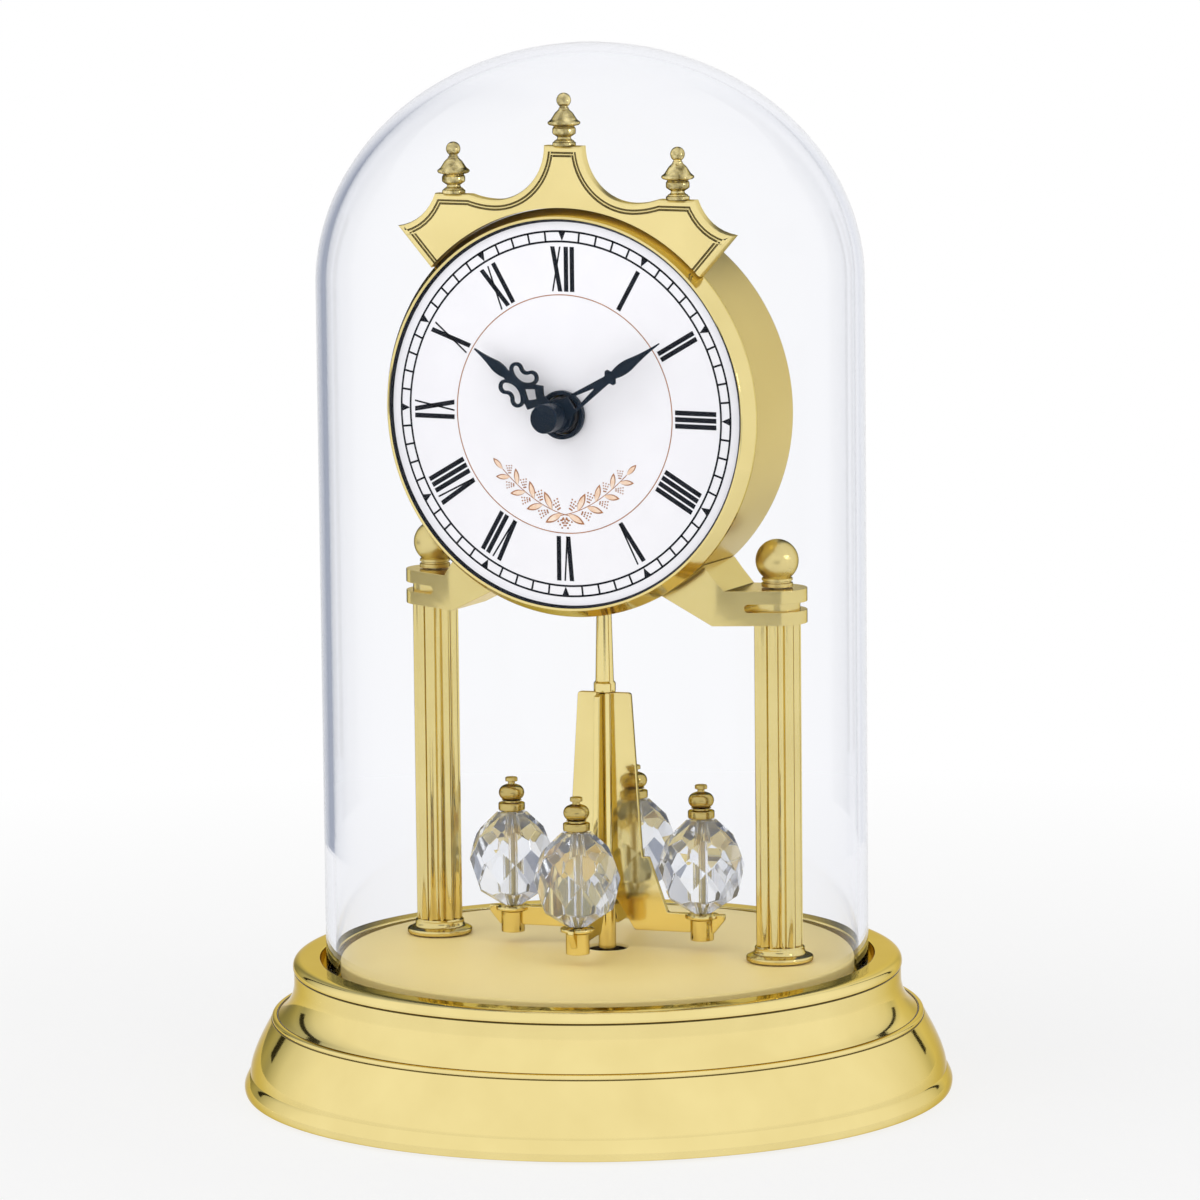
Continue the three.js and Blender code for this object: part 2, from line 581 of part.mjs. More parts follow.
function basePlate() {
  const span = [PLATE_BOTTOM_Z - CUT_MARGIN, PLATE_TOP_Z + CUT_MARGIN];
  const guideHole = rod(PLATE_HOLE_RADIUS, ...span, BALL_SIDES).translate(0, AXIS_BACK, 0);
  const rodHoles = columnPlaces.map(([, x]) =>
    rod(ROD_HOLE, ...span, SMALL_SIDES).translate(x, AXIS_BACK, 0),
  );
  return cut(rod(PLATE_RADIUS, PLATE_BOTTOM_Z, PLATE_TOP_Z, WIDE_SIDES), guideHole, ...rodHoles);
}

function plateBush() {
  const outer = PLATE_HOLE_RADIUS + BUSH_FLANGE;
  const ring = tube(GUIDE_RADIUS + RUN_GAP, outer, BUSH_TOP_Z - BUSH_HEIGHT, BUSH_TOP_Z, BALL_SIDES);
  return ring.translate(0, AXIS_BACK, 0);
}

const baseCover = rod(SHELL_MOUTH - EDGE_GAP, COVER_Z, COVER_Z + COVER_THICKNESS, WIDE_SIDES);
const basePad = rod(SHELL_MOUTH - PAD_MARGIN, 0, PAD_THICKNESS, WIDE_SIDES);
add(clock, 'base_shell', baseShell(), gold);
add(clock, 'base_plate', basePlate(), gold);
add(clock, 'base_cover', baseCover, movementBlack);
add(clock, 'base_pad', basePad, felt);
add(clock, 'plate_bush', plateBush(), brass);

// Columns

function flutedColumn() {
  const corners = FLUTE_COUNT * FLUTE_STEPS;
  const flutes = circle([0, 0], 1, corners).map(([x, y], i) => {
    const across = (i % FLUTE_STEPS) / FLUTE_STEPS;
    const radius = COLUMN_RADIUS - FLUTE_DEPTH * Math.sin(Math.PI * across);
    return [radius * x, radius * y];
  });
  const bore = circle([0, 0], ROD_HOLE, SMALL_SIDES);
  return plate(flat(flutes, bore), COLUMN_Z, COLUMN_TOP_Z - COLUMN_Z);
}

function columnFoot() {
  const edge = FOOT_Z + FOOT_EDGE;
  const top = FOOT_Z + FOOT_HEIGHT;
  const profile = outline(
    [ROD_HOLE, FOOT_Z],
    [[FOOT_RADIUS - FOOT_CHAMFER, FOOT_Z]],
    [[FOOT_RADIUS, FOOT_Z + FOOT_CHAMFER]],
    [[FOOT_RADIUS, edge]],
    [[FOOT_NECK_RADIUS, edge], [FOOT_NECK_RADIUS, top], 3],
    [[ROD_HOLE, top]],
  );
  return turned(profile, BALL_SIDES);
}

function columnBall() {
  const collar = BALL_NECK_RADIUS + BALL_COLLAR;
  const collarTop = BALL_Z + BALL_COLLAR_HEIGHT;
  const profile = [
    [0, BALL_Z],
    [collar, BALL_Z],
    [collar, collarTop],
    [BALL_NECK_RADIUS, collarTop],
    ...ballOn(BALL_NECK_RADIUS, BALL_RADIUS, collarTop + BALL_NECK_HEIGHT, BALL_STEPS),
  ];
  const bore = rod(ROD_HOLE, BALL_Z - CUT_MARGIN, BALL_Z + ROD_IN_BALL + SEAT_GAP, SMALL_SIDES);
  return cut(turned(profile, BALL_SIDES), bore);
}

function columnNut() {
  const bore = circle([0, 0], ROD_HOLE, SMALL_SIDES);
  return plate(flat(circle([0, 0], NUT_RADIUS, NUT_SIDES), bore), NUT_Z, NUT_HEIGHT);
}

// The slot that runs round the end of a bracket, half-way up its bar.
function bracketSlot(centre, wide) {
  const middle = BAR_Z + BAR_HEIGHT / 2;
  const half = SLOT_HEIGHT / 2;
  const start = COLUMN_X - SLOT_REACH;
  const band = block([start, -wide, middle - half], [COLUMN_X + wide, wide, middle + half]);
  const roundEnd = rod(half, -wide, wide, SMALL_SIDES).rotateX(QUARTER).translate(start, 0, middle);
  const coreRadius = BAR_END_RADIUS - SLOT_DEPTH;
  const coreEnd = rod(coreRadius, BAR_Z, BAR_TOP_Z, BALL_SIDES).translate(...centre, 0);
  const coreBar = block(
    [0, AXIS_BACK - coreRadius, BAR_Z],
    [COLUMN_X, AXIS_BACK + coreRadius, BAR_TOP_Z],
  );
  return cut(join(band, roundEnd), coreEnd, coreBar);
}

// The bracket is what its plan and its front view have in common.
function bracket() {
  const centre = [COLUMN_X, AXIS_BACK];
  const front = AXIS_BACK - BRACKET_FRONT;
  const back = AXIS_BACK + BRACKET_BACK;
  const kneeIn = BAR_SHOULDER + BAR_KNEE;
  const kneeX = COLUMN_X - kneeIn;
  const toKnee = Math.atan2(-BRACKET_FRONT, -kneeIn);
  const tangent = toKnee + Math.acos(BAR_END_RADIUS / Math.hypot(kneeIn, BRACKET_FRONT));
  const plan = [
    [0, front],
    [kneeX, front],
    ...arc(centre, BAR_END_RADIUS, tangent, QUARTER, BRACKET_END_STEPS),
    [kneeX, back],
    [0, back],
  ];
  const fromAbove = plate(flat(plan), BAR_Z, HEAD_Z - BAR_Z);

  const low = radians(ROOT_ANGLE) - QUARTER;
  const far = COLUMN_X + 2 * BAR_END_RADIUS;
  const side = [
    ...arc([0, HEAD_Z], DRUM_RADIUS + SEAT_GAP, low + radians(ROOT_SPAN), low, BRACKET_ROOT_STEPS),
    [kneeX, BAR_Z],
    [far, BAR_Z],
    [far, BAR_TOP_Z],
    [COLUMN_X - BAR_SHOULDER, BAR_TOP_Z],
  ];
  const wide = 2 * (BRACKET_FRONT + BAR_END_RADIUS);
  const fromFront = plate(flat(side), -wide, 2 * wide).rotateX(QUARTER);

  const bore = rod(ROD_HOLE, BAR_Z - CUT_MARGIN, BAR_TOP_Z + CUT_MARGIN, SMALL_SIDES);
  return cut(common(fromAbove, fromFront), bracketSlot(centre, wide), bore.translate(...centre, 0));
}

const rightBracket = bracket();
const columnRod = rod(ROD_RADIUS, NUT_Z - ROD_TAIL, BALL_Z + ROD_IN_BALL, SMALL_SIDES);
for (const [side, x] of columnPlaces) {
  const stand = new THREE.Group();
  stand.position.set(x, AXIS_BACK, 0);
  clock.add(stand);
  add(stand, `column_foot_${side}`, columnFoot(), gold);
  add(stand, `column_${side}`, flutedColumn(), gold);
  add(stand, `column_ball_${side}`, columnBall(), gold);
  add(stand, `column_rod_${side}`, columnRod, steel);
  add(stand, `column_nut_${side}`, columnNut(), steel);
  add(clock, `bracket_${side}`, x > 0 ? rightBracket : mirrored(rightBracket), gold);
}

// Drum, dial and bezel

function drumCase() {
  const ledgeBack = BACK_COVER_FRONT + SEAT_GAP;
  const ledgeFront = ledgeBack + BACK_LEDGE_THICKNESS;
  const ledgeInner = DRUM_INNER_RADIUS - BACK_LEDGE_WIDTH;
  const wallBack = DRUM_FRONT - DRUM_FRONT_WALL;
  const profile = [
    [NECK_HOLE, DRUM_FRONT],
    [NECK_HOLE, wallBack],
    [DRUM_INNER_RADIUS, wallBack],
    [DRUM_INNER_RADIUS, ledgeFront],
    [ledgeInner, ledgeFront],
    [ledgeInner, ledgeBack],
    [DRUM_INNER_RADIUS, ledgeBack],
    [DRUM_INNER_RADIUS, DRUM_REAR],
    [DRUM_RADIUS, DRUM_REAR],
    [DRUM_RADIUS, DRUM_FRONT],
  ];
  const holeRadius = STEM_TOP_RADIUS + STEM_HOLE_GAP;
  const holeInner = ledgeInner - DRUM_WALL;
  const stemHole = rod(holeRadius, holeInner, DRUM_RADIUS + CUT_MARGIN, SMALL_SIDES);
  return cut(turned(profile, WIDE_SIDES), stemHole.rotateX(QUARTER).translate(0, 0, -AXIS_BACK));
}

function bezelRing() {
  const lipInner = BEZEL_RADIUS - BEZEL_LIP;
  const lipBack = DIAL_FRONT + SEAT_GAP;
  const crown = DIAL_FRONT + BEZEL_CROWN;
  const sleeveInner = BEZEL_RADIUS - BEZEL_SLEEVE;
  const back = DIAL_FRONT - BEZEL_DEPTH;
  const profile = outline(
    [sleeveInner, back],
    [[BEZEL_RADIUS, back]],
    [[BEZEL_RADIUS, DIAL_FRONT]],
    [[BEZEL_RADIUS, crown], [BEZEL_RADIUS - BEZEL_LIP / 2, crown], 3],
    [[lipInner, crown], [lipInner, lipBack], 3],
    [[sleeveInner, lipBack]],
  );
  return turned(profile, WIDE_SIDES);
}

function backCover() {
  const disc = rod(DRUM_INNER_RADIUS - EDGE_GAP, DRUM_REAR, BACK_COVER_FRONT, WIDE_SIDES);
  const x = MOVEMENT_HALF_WIDTH + BACK_WINDOW_GAP;
  const y = MOVEMENT_HALF_HEIGHT + BACK_WINDOW_GAP;
  return cut(disc, block([-x, -y, DRUM_REAR - CUT_MARGIN], [x, y, BACK_COVER_FRONT + CUT_MARGIN]));
}

const dialRadius = BEZEL_RADIUS - BEZEL_SLEEVE - EDGE_GAP;
add(head, 'drum_case', drumCase(), gold);
add(head, 'bezel', bezelRing(), gold);
add(head, 'dial', tube(NECK_HOLE, dialRadius, DIAL_BACK, DIAL_FRONT, WIDE_SIDES), dialWhite);
add(head, 'back_cover', backCover(), movementBlack);

// Crest and finials

const upright = (radius, degrees) => [
  radius * Math.sin(radians(degrees)),
  radius * Math.cos(radians(degrees)),
];

// Right half of the crest's upper edge, from the corner of its top to its outer foot.
function crestEdge() {
  const tip = upright(BEZEL_RADIUS + CREST_TIP_RISE, CREST_END_ANGLE - CREST_END_LEAN);
  const shoulder = [CREST_SHOULDER_END, CREST_SHOULDER];
  const across = tip[0] - shoulder[0];
  const down = shoulder[1] - tip[1];
  const pull = (2 * CREST_END_BOW) / Math.hypot(across, down);
  const hollow = [
    (shoulder[0] + tip[0]) / 2 - pull * down,
    (shoulder[1] + tip[1]) / 2 - pull * across,
  ];
  const sweep = arc([0, 0], 1, Math.PI, 3 * QUARTER, CREST_SWEEP_STEPS).map(([x, y]) => [
    CREST_DIP_X + CREST_SWEEP * x,
    CREST_TOP + (CREST_TOP - CREST_DIP) * y,
  ]);
  const rise = outline(
    [CREST_DIP_X, CREST_DIP],
    [[CREST_DIP_X + CREST_DIP_WIDTH / 2, CREST_DIP], [CREST_SHOULDER_X, CREST_SHOULDER], 3],
    [shoulder],
    [hollow, tip, 4],
    [upright(CREST_FOOT_RADIUS, CREST_END_ANGLE)],
  );
  return [...sweep, ...rise.slice(1)];
}

// An edge moved in by a distance, square to the mean of its neighbours' directions.
function movedIn(edge, distance) {
  return edge.map(([x, y], i) => {
    const [px, py] = edge[Math.max(i - 1, 0)];
    const [nx, ny] = edge[Math.min(i + 1, edge.length - 1)];
    const length = Math.hypot(nx - px, ny - py);
    return [x + (distance * (ny - py)) / length, y - (distance * (nx - px)) / length];
  });
}

// An upper edge, closed by an arc round the dial.
function crestShape(edge, footRadius) {
  const [x, y] = edge.at(-1);
  const end = Math.atan2(y, x);
  return flat([...edge, ...arc([0, 0], footRadius, end, Math.PI - end, CREST_FOOT_STEPS)]);
}

function crestPlate() {
  const edge = bothSides(crestEdge());
  const body = plate(crestShape(edge, CREST_FOOT_RADIUS), CREST_BACK, CREST_THICKNESS);
  const panelShape = crestShape(movedIn(edge, CREST_BORDER), CREST_FOOT_RADIUS - CREST_BORDER);
  const panelBack = CREST_BACK + CREST_THICKNESS - CREST_PANEL_DEPTH;
  return cut(body, plate(panelShape, panelBack, CREST_PANEL_DEPTH + CUT_MARGIN));
}

function finial() {
  const profile = outline(
    [0, 0],
    [[FINIAL_FLANGE_RADIUS, 0]],
    [[FINIAL_FLANGE_RADIUS, FINIAL_FLANGE_HEIGHT]],
    [[FINIAL_WAIST_RADIUS, FINIAL_FLANGE_HEIGHT], [FINIAL_WAIST_RADIUS, FINIAL_WAIST_TOP], 2],
    [[FINIAL_BODY_RADIUS, FINIAL_WIDEST]],
    [[FINIAL_BODY_RADIUS, FINIAL_CONE]],
    [[FINIAL_NECK_RADIUS, FINIAL_NECK]],
  );
  const ball = ballOn(FINIAL_NECK_RADIUS, FINIAL_BALL_RADIUS, FINIAL_NECK, FINIAL_BALL_STEPS);
  return turned([...profile, ...ball.slice(1)], SMALL_SIDES).rotateX(-QUARTER);
}

add(head, 'crest', crestPlate(), gold);
const shoulderMiddle = (CREST_SHOULDER_X + CREST_SHOULDER_END) / 2;
const finialPlaces = [
  ['left', -shoulderMiddle, CREST_SHOULDER],
  ['centre', 0, CREST_TOP],
  ['right', shoulderMiddle, CREST_SHOULDER],
];
for (const [side, x, y] of finialPlaces) {
  const mesh = add(head, `finial_${side}`, finial(), gold);
  mesh.position.set(x, y + SEAT_GAP, CREST_BACK + CREST_THICKNESS / 2);
}

// Movement, battery and drive

function movementHousing() {
  const box = block(
    [-MOVEMENT_HALF_WIDTH, -MOVEMENT_HALF_HEIGHT, MOVEMENT_REAR],
    [MOVEMENT_HALF_WIDTH, MOVEMENT_HALF_HEIGHT, MOVEMENT_FRONT],
  );
  const neck = rod(NECK_RADIUS, MOVEMENT_FRONT - CUT_MARGIN, NUT_FRONT, BALL_SIDES);
  const bay = block(
    [-BAY_HALF_LENGTH, BATTERY_RISE - BAY_HALF_HEIGHT, MOVEMENT_REAR - CUT_MARGIN],
    [BAY_HALF_LENGTH, BATTERY_RISE + BAY_HALF_HEIGHT, BATTERY_DEPTH + BAY_HALF_HEIGHT],
  );
  const pipeBore = rod(PIPE_HOLE, PIPE_BACK - SEAT_GAP, NUT_FRONT + CUT_MARGIN, SMALL_SIDES);
  const arborBore = rod(ARBOR_HOLE, MOVEMENT_REAR - CUT_MARGIN, NUT_FRONT, SMALL_SIDES);
  return cut(join(box, neck), bay, pipeBore, arborBore);
}

function batteryCell() {
  const half = BATTERY_LENGTH / 2;
  const shoulder = half - BATTERY_NUB_LENGTH;
  const profile = [
    [0, -half],
    [BATTERY_RADIUS, -half],
    [BATTERY_RADIUS, shoulder],
    [BATTERY_NUB_RADIUS, shoulder],
    [BATTERY_NUB_RADIUS, half],
    [0, half],
  ];
  return turned(profile, BALL_SIDES).rotateY(QUARTER).translate(0, BATTERY_RISE, BATTERY_DEPTH);
}

function contactLeaf() {
  const inner = BATTERY_LENGTH / 2 + SEAT_GAP;
  const half = CONTACT_WIDTH / 2;
  return block(
    [inner, BATTERY_RISE - half, BATTERY_DEPTH - half],
    [inner + CONTACT_THICKNESS, BATTERY_RISE + half, BATTERY_DEPTH + half],
  );
}

function pendulumDrive() {
  const half = DRIVE_WIDTH / 2;
  const box = block(
    [-half, AXIS_BACK - DRIVE_AHEAD_OF_AXIS, DRIVE_Z],
    [half, AXIS_BACK + DRIVE_BEHIND_AXIS, DRIVE_Z + DRIVE_HEIGHT],
  );
  const boreTop = DRIVE_Z + SPINDLE_LENGTH + SEAT_GAP;
  const bore = rod(STEM_TOP_RADIUS + RUN_GAP, DRIVE_Z - CUT_MARGIN, boreTop, SMALL_SIDES);
  return cut(box, bore.translate(0, AXIS_BACK, 0));
}

const dialNut = tube(NECK_HOLE, NECK_HOLE + DIAL_NUT_WALL, NUT_BACK, NUT_FRONT, BALL_SIDES);
add(head, 'movement_housing', movementHousing(), movementBlack);
add(head, 'dial_nut', dialNut, handBlue);
add(head, 'battery', batteryCell(), batteryGreen);
add(head, 'contact_positive', contactLeaf(), steel);
add(head, 'contact_negative', mirrored(contactLeaf()), steel);
add(clock, 'pendulum_drive', pendulumDrive(), movementBlack);

// Hands, drawn pointing to twelve

// A leaf that swells from its root and then draws out to a thin point.
function leaf(root, length, width) {
  const widest = root + length * LEAF_WIDEST_SHARE;
  const waist = root + length * LEAF_WAIST_SHARE;
  const tip = root + length;
  return bothSides(outline(
    [HAND_POINT, tip],
    [[HAND_POINT, waist], [width / 2, widest], 4],
    [[width / 2, (root + widest) / 2], [(width / 2) * LEAF_ROOT_SHARE, root], 2],
  ));
}

const pierced = (shape, low, ...holes) =>
  cut(plate(shape, low, HAND_THICKNESS), ...holes.map((hole) =>
    plate(hole, low - CUT_MARGIN, HAND_THICKNESS + 2 * CUT_MARGIN),
  ));

// A hand joined to its boss and bored for its arbor or pipe.
function onBoss(blade, bossRadius, back, hole, angle) {
  const front = back + HAND_BOSS_LENGTH;
  const boss = rod(bossRadius, back, front, BALL_SIDES);
  const bore = rod(hole, back - CUT_MARGIN, front + CUT_MARGIN, SMALL_SIDES);
  return cut(join(blade, boss), bore).rotateZ(-radians(angle));
}

function minuteHand() {
  const low = MINUTE_BOSS_BACK + HAND_BOSS_PROUD;
  const half = MINUTE_LOOP_WIDTH / 2;
  const knuckle = MINUTE_BOSS_RADIUS + MINUTE_LOOP_LENGTH;
  const knuckleEnd = knuckle + MINUTE_KNUCKLE_LENGTH;
  const neck = half - MINUTE_LOOP_TAPER;
  const openingStart = MINUTE_BOSS_RADIUS + HAND_STROKE;
  const loop = bothSides([[neck, knuckleEnd], [half, 0]]);
  const openingHalf = half - MINUTE_LOOP_TAPER * (openingStart / knuckleEnd) - HAND_STROKE;
  const opening = [
    [-openingHalf, openingStart],
    [openingHalf, openingStart],
    [0, openingStart + MINUTE_OPENING_LENGTH],
  ];
  const wide = MINUTE_KNUCKLE_WIDTH / 2;
  const knuckleBar = bothSides([[neck, knuckleEnd], [wide, knuckle]]);
  const blade = join(
    pierced(flat(loop), low, flat(opening)),
    plate(flat(knuckleBar), low, HAND_THICKNESS),
    plate(flat(leaf(knuckleEnd - HAND_STROKE, MINUTE_LEAF_LENGTH, MINUTE_LEAF_WIDTH)), low, HAND_THICKNESS),
  );
  return onBoss(blade, MINUTE_BOSS_RADIUS, MINUTE_BOSS_BACK, ARBOR_HOLE, MINUTE_ANGLE);
}

// A curved slot: a band of the given width bent round a centre, with round ends.
function bentSlot(centre, radius, width, from, to) {
  const half = width / 2;
  const endCap = (angle, turn) => {
    const middle = [centre[0] + radius * Math.cos(angle), centre[1] + radius * Math.sin(angle)];
    return arc(middle, half, angle + turn, angle + turn + Math.PI, LOOP_STEPS).slice(1, -1);
  };
  return [
    ...arc(centre, radius + half, from, to, LOOP_STEPS),
    ...endCap(to, 0),
    ...arc(centre, Math.max(radius - half, 0), to, from, LOOP_STEPS),
    ...endCap(from, Math.PI),
  ];
}

function hourHand() {
  const low = HOUR_BOSS_BACK + HAND_BOSS_PROUD;
  const windowLow = HOUR_BOSS_RADIUS + HOUR_WINDOW_GAP;
  const windowHigh = windowLow + HOUR_WINDOW_LENGTH;
  const windowMiddle = (windowLow + windowHigh) / 2;
  const windowHalf = HOUR_WINDOW_WIDTH / 2;
  const loopMiddle = windowHigh + HOUR_LOOP_GAP;
  const leafRoot = loopMiddle + HOUR_LEAF_GAP;
  const window = [[0, windowLow], [windowHalf, windowMiddle], [0, windowHigh], [-windowHalf, windowMiddle]];
  const spineHalf = HOUR_LEAF_WIDTH / 2;
  const spine = bothSides([
    [spineHalf, leafRoot],
    [spineHalf, windowHigh],
    [windowHalf + HAND_STROKE, windowMiddle],
    [spineHalf, windowLow - HAND_STROKE],
    [HOUR_BOSS_RADIUS / 2, 0],
  ]);
  const bend = [radians(HOUR_LOOP_START), radians(HOUR_LOOP_END)];
  const ring = (width) => bentSlot([HOUR_LOOP_SIDE, loopMiddle], HOUR_LOOP_RADIUS, width, ...bend);
  const otherSide = (points) => points.map(([x, y]) => [-x, y]);
  const outside = ring(HOUR_LOOP_WIDTH + 2 * HAND_STROKE);
  const inside = ring(HOUR_LOOP_WIDTH);
  const solid = join(
    plate(flat(spine), low, HAND_THICKNESS),
    plate(flat(outside), low, HAND_THICKNESS),
    plate(flat(otherSide(outside)), low, HAND_THICKNESS),
    plate(flat(leaf(leafRoot - HAND_STROKE, HOUR_LEAF_LENGTH, HOUR_LEAF_WIDTH)), low, HAND_THICKNESS),
  );
  const holes = [window, inside, otherSide(inside)].map((hole) =>
    plate(flat(hole), low - CUT_MARGIN, HAND_THICKNESS + 2 * CUT_MARGIN),
  );
  return onBoss(cut(solid, ...holes), HOUR_BOSS_RADIUS, HOUR_BOSS_BACK, PIPE_HOLE, HOUR_ANGLE);
}

function turnedKnob(radius, length) {
  const profile = [
    [0, 0],
    [radius, 0],
    [radius, length - KNOB_CHAMFER],
    [radius - KNOB_CHAMFER, length],
    [0, length],
  ];
  return cut(turned(profile, BALL_SIDES), rod(ARBOR_HOLE, -CUT_MARGIN, KNOB_GRIP + SEAT_GAP, SMALL_SIDES));
}

const hourPipe = tube(ARBOR_HOLE, PIPE_RADIUS, PIPE_BACK, HOUR_BOSS_FRONT, SMALL_SIDES);
const minuteArbor = rod(ARBOR_RADIUS, SET_KNOB_FRONT - KNOB_GRIP, HAND_KNOB_BACK + KNOB_GRIP, SMALL_SIDES);
const handKnob = turnedKnob(HAND_KNOB_RADIUS, HAND_KNOB_LENGTH).translate(0, 0, HAND_KNOB_BACK);
const setKnob = turnedKnob(SET_KNOB_RADIUS, SET_KNOB_LENGTH).rotateX(Math.PI);
add(head, 'hour_pipe', hourPipe, brass);
add(head, 'hour_hand', hourHand(), handBlue);
add(head, 'minute_arbor', minuteArbor, steel);
add(head, 'minute_hand', minuteHand(), handBlue);
add(head, 'hand_knob', handKnob, handBlue);
add(head, 'set_knob', setKnob.translate(0, 0, SET_KNOB_FRONT), movementBlack);

// Pendulum, drawn about its own axis with its first arm on +X

// One fin with its flare and arm, as an upright outline from the axis out.
function finPlate() {
  const fin = [
    [0, FIN_TOP_Z],
    [0, ARCH_Z],
    [HUB_RADIUS, ARCH_Z],
    [ARM_ROOT, ARM_Z],
    [ARM_END - ARM_CUT, ARM_Z],
    [ARM_END, CUP_FLANGE_Z],
    [ARM_END, CUP_TOP_Z],
    [FLARE_RADIUS, CUP_TOP_Z],
    [FIN_FOOT_RADIUS + FIN_STEP, STEP_Z],
    [FIN_FOOT_RADIUS, STEP_Z],
    [FIN_TOP_RADIUS, FIN_TOP_Z - FIN_ROUND],
    [FIN_TOP_RADIUS - FIN_ROUND, FIN_TOP_Z],
  ];
  return plate(flat(fin), -FIN_THICKNESS / 2, FIN_THICKNESS).rotateX(QUARTER);
}

function cup() {
  const profile = [
    [0, CUP_Z],
    [CUP_RADIUS, CUP_Z],
    [CUP_RADIUS, CUP_FLANGE_Z],
    [CUP_FLANGE_RADIUS, CUP_FLANGE_Z + CUP_FLANGE_SLOPE],
    [CUP_FLANGE_RADIUS, CUP_TOP_Z],
    [0, CUP_TOP_Z],
  ];
  return turned(profile, BALL_SIDES).translate(ARM_RADIUS, 0, 0);
}

function pendulumRotor() {
  const quarters = [0, 1, 2, 3].map((i) => i * QUARTER);
  const fins = quarters.map((angle) => finPlate().rotateZ(angle));
  const cups = quarters.map((angle) => cup().rotateZ(angle));
  const whole = join(rod(HUB_RADIUS, ARCH_Z, FIN_TOP_Z, SMALL_SIDES), ...fins, ...cups);
  const socketFloor = CUP_TOP_Z - SHANK_IN_CUP - SEAT_GAP;
  const sockets = quarters.map((angle) =>
    rod(SHANK_RADIUS + RUN_GAP, socketFloor, CUP_TOP_Z + CUT_MARGIN, SMALL_SIDES)
      .translate(ARM_RADIUS, 0, 0)
      .rotateZ(angle),
  );
  const pinHole = PIN_RADIUS + RUN_GAP;
  const pinDepth = PIN_LENGTH + SEAT_GAP;
  const stemSocket = rod(pinHole, FIN_TOP_Z - pinDepth, FIN_TOP_Z + CUT_MARGIN, SMALL_SIDES);
  const guideSocket = rod(pinHole, ARCH_Z - CUT_MARGIN, ARCH_Z + pinDepth, SMALL_SIDES);
  const guideRoom = rod(GUIDE_RADIUS + SEAT_GAP, ARM_Z - CUT_MARGIN, ARCH_Z, SMALL_SIDES);
  return cut(whole, stemSocket, guideSocket, guideRoom, ...sockets);
}

function pendulumStem() {
  const collarTop = STEM_Z + STEM_COLLAR_HEIGHT;
  const spindleTop = DRIVE_Z + SPINDLE_LENGTH;
  const profile = [
    [0, STEM_Z - PIN_LENGTH],
    [PIN_RADIUS, STEM_Z - PIN_LENGTH],
    [PIN_RADIUS, STEM_Z],
    [STEM_COLLAR_RADIUS, STEM_Z],
    [STEM_COLLAR_RADIUS, collarTop - STEM_COLLAR_SLOPE],
    [STEM_FOOT_RADIUS, collarTop],
    [STEM_TOP_RADIUS, DRUM_BOTTOM_Z],
    [STEM_TOP_RADIUS, spindleTop],
    [0, spindleTop],
  ];
  return turned(profile, SMALL_SIDES);
}

function pendulumGuide() {
  const shoulder = ARCH_Z - SEAT_GAP;
  const profile = [
    [0, GUIDE_Z],
    [GUIDE_RADIUS - GUIDE_CHAMFER, GUIDE_Z],
    [GUIDE_RADIUS, GUIDE_Z + GUIDE_CHAMFER],
    [GUIDE_RADIUS, shoulder],
    [PIN_RADIUS, shoulder],
    [PIN_RADIUS, shoulder + PIN_LENGTH],
    [0, shoulder + PIN_LENGTH],
  ];
  return turned(profile, SMALL_SIDES);
}

// The solid inside a set of flat facets. Each facet is a vector along its normal, as long as one
// over its distance from the origin, and each face of those vectors' hull gives one corner.
function facetSolid(facets) {
  const hull = new ConvexGeometry(facets).attributes.position;
  const corners = [];
  for (let i = 0; i < hull.count; i += 3) {
    const face = [i, i + 1, i + 2].map((j) => new THREE.Vector3().fromBufferAttribute(hull, j));
    const plane = new THREE.Plane().setFromCoplanarPoints(...face);
    const corner = plane.normal.divideScalar(-plane.constant);
    if (!corners.some((other) => other.distanceTo(corner) < SAME_CORNER)) corners.push(corner);
  }
  return new ConvexGeometry(corners);
}

// A drop with a row of facets for each stretch of its profile, each row turned half a facet.
function facetedDrop() {
  const profile = [
    [DROP_FOOT_RADIUS, DROP_Z],
    [DROP_LOW_RADIUS, DROP_LOW_Z],
    [DROP_BELLY_RADIUS, DROP_BELLY_Z],
    [DROP_RADIUS, DROP_WIDEST_Z],
    [DROP_HIGH_RADIUS, DROP_HIGH_Z],
    [DROP_TOP_RADIUS, DROP_TOP_Z],
  ];
  const middle = (DROP_Z + DROP_TOP_Z) / 2;
  const half = DROP_TOP_Z - middle;
  const facets = [new THREE.Vector3(0, 0, 1 / half), new THREE.Vector3(0, 0, -1 / half)];
  profile.slice(1).forEach(([radius, height], row) => {
    const [lowRadius, lowHeight] = profile[row];
    const normal = new THREE.Vector2(height - lowHeight, lowRadius - radius).normalize();
    const distance = normal.x * radius + normal.y * (height - middle);
    for (let side = 0; side < DROP_SIDES; side += 1) {
      const angle = (2 * Math.PI * (side + row / 2)) / DROP_SIDES;
      const facet = new THREE.Vector3(Math.cos(angle) * normal.x, Math.sin(angle) * normal.x, normal.y);
      facets.push(facet.divideScalar(distance));
    }
  });
  const solid = facetSolid(facets).translate(0, 0, middle);
  const bore = rod(SHANK_RADIUS + RUN_GAP, DROP_Z - CUT_MARGIN, DROP_TOP_Z + CUT_MARGIN, SMALL_SIDES);
  return cut(solid, bore);
}

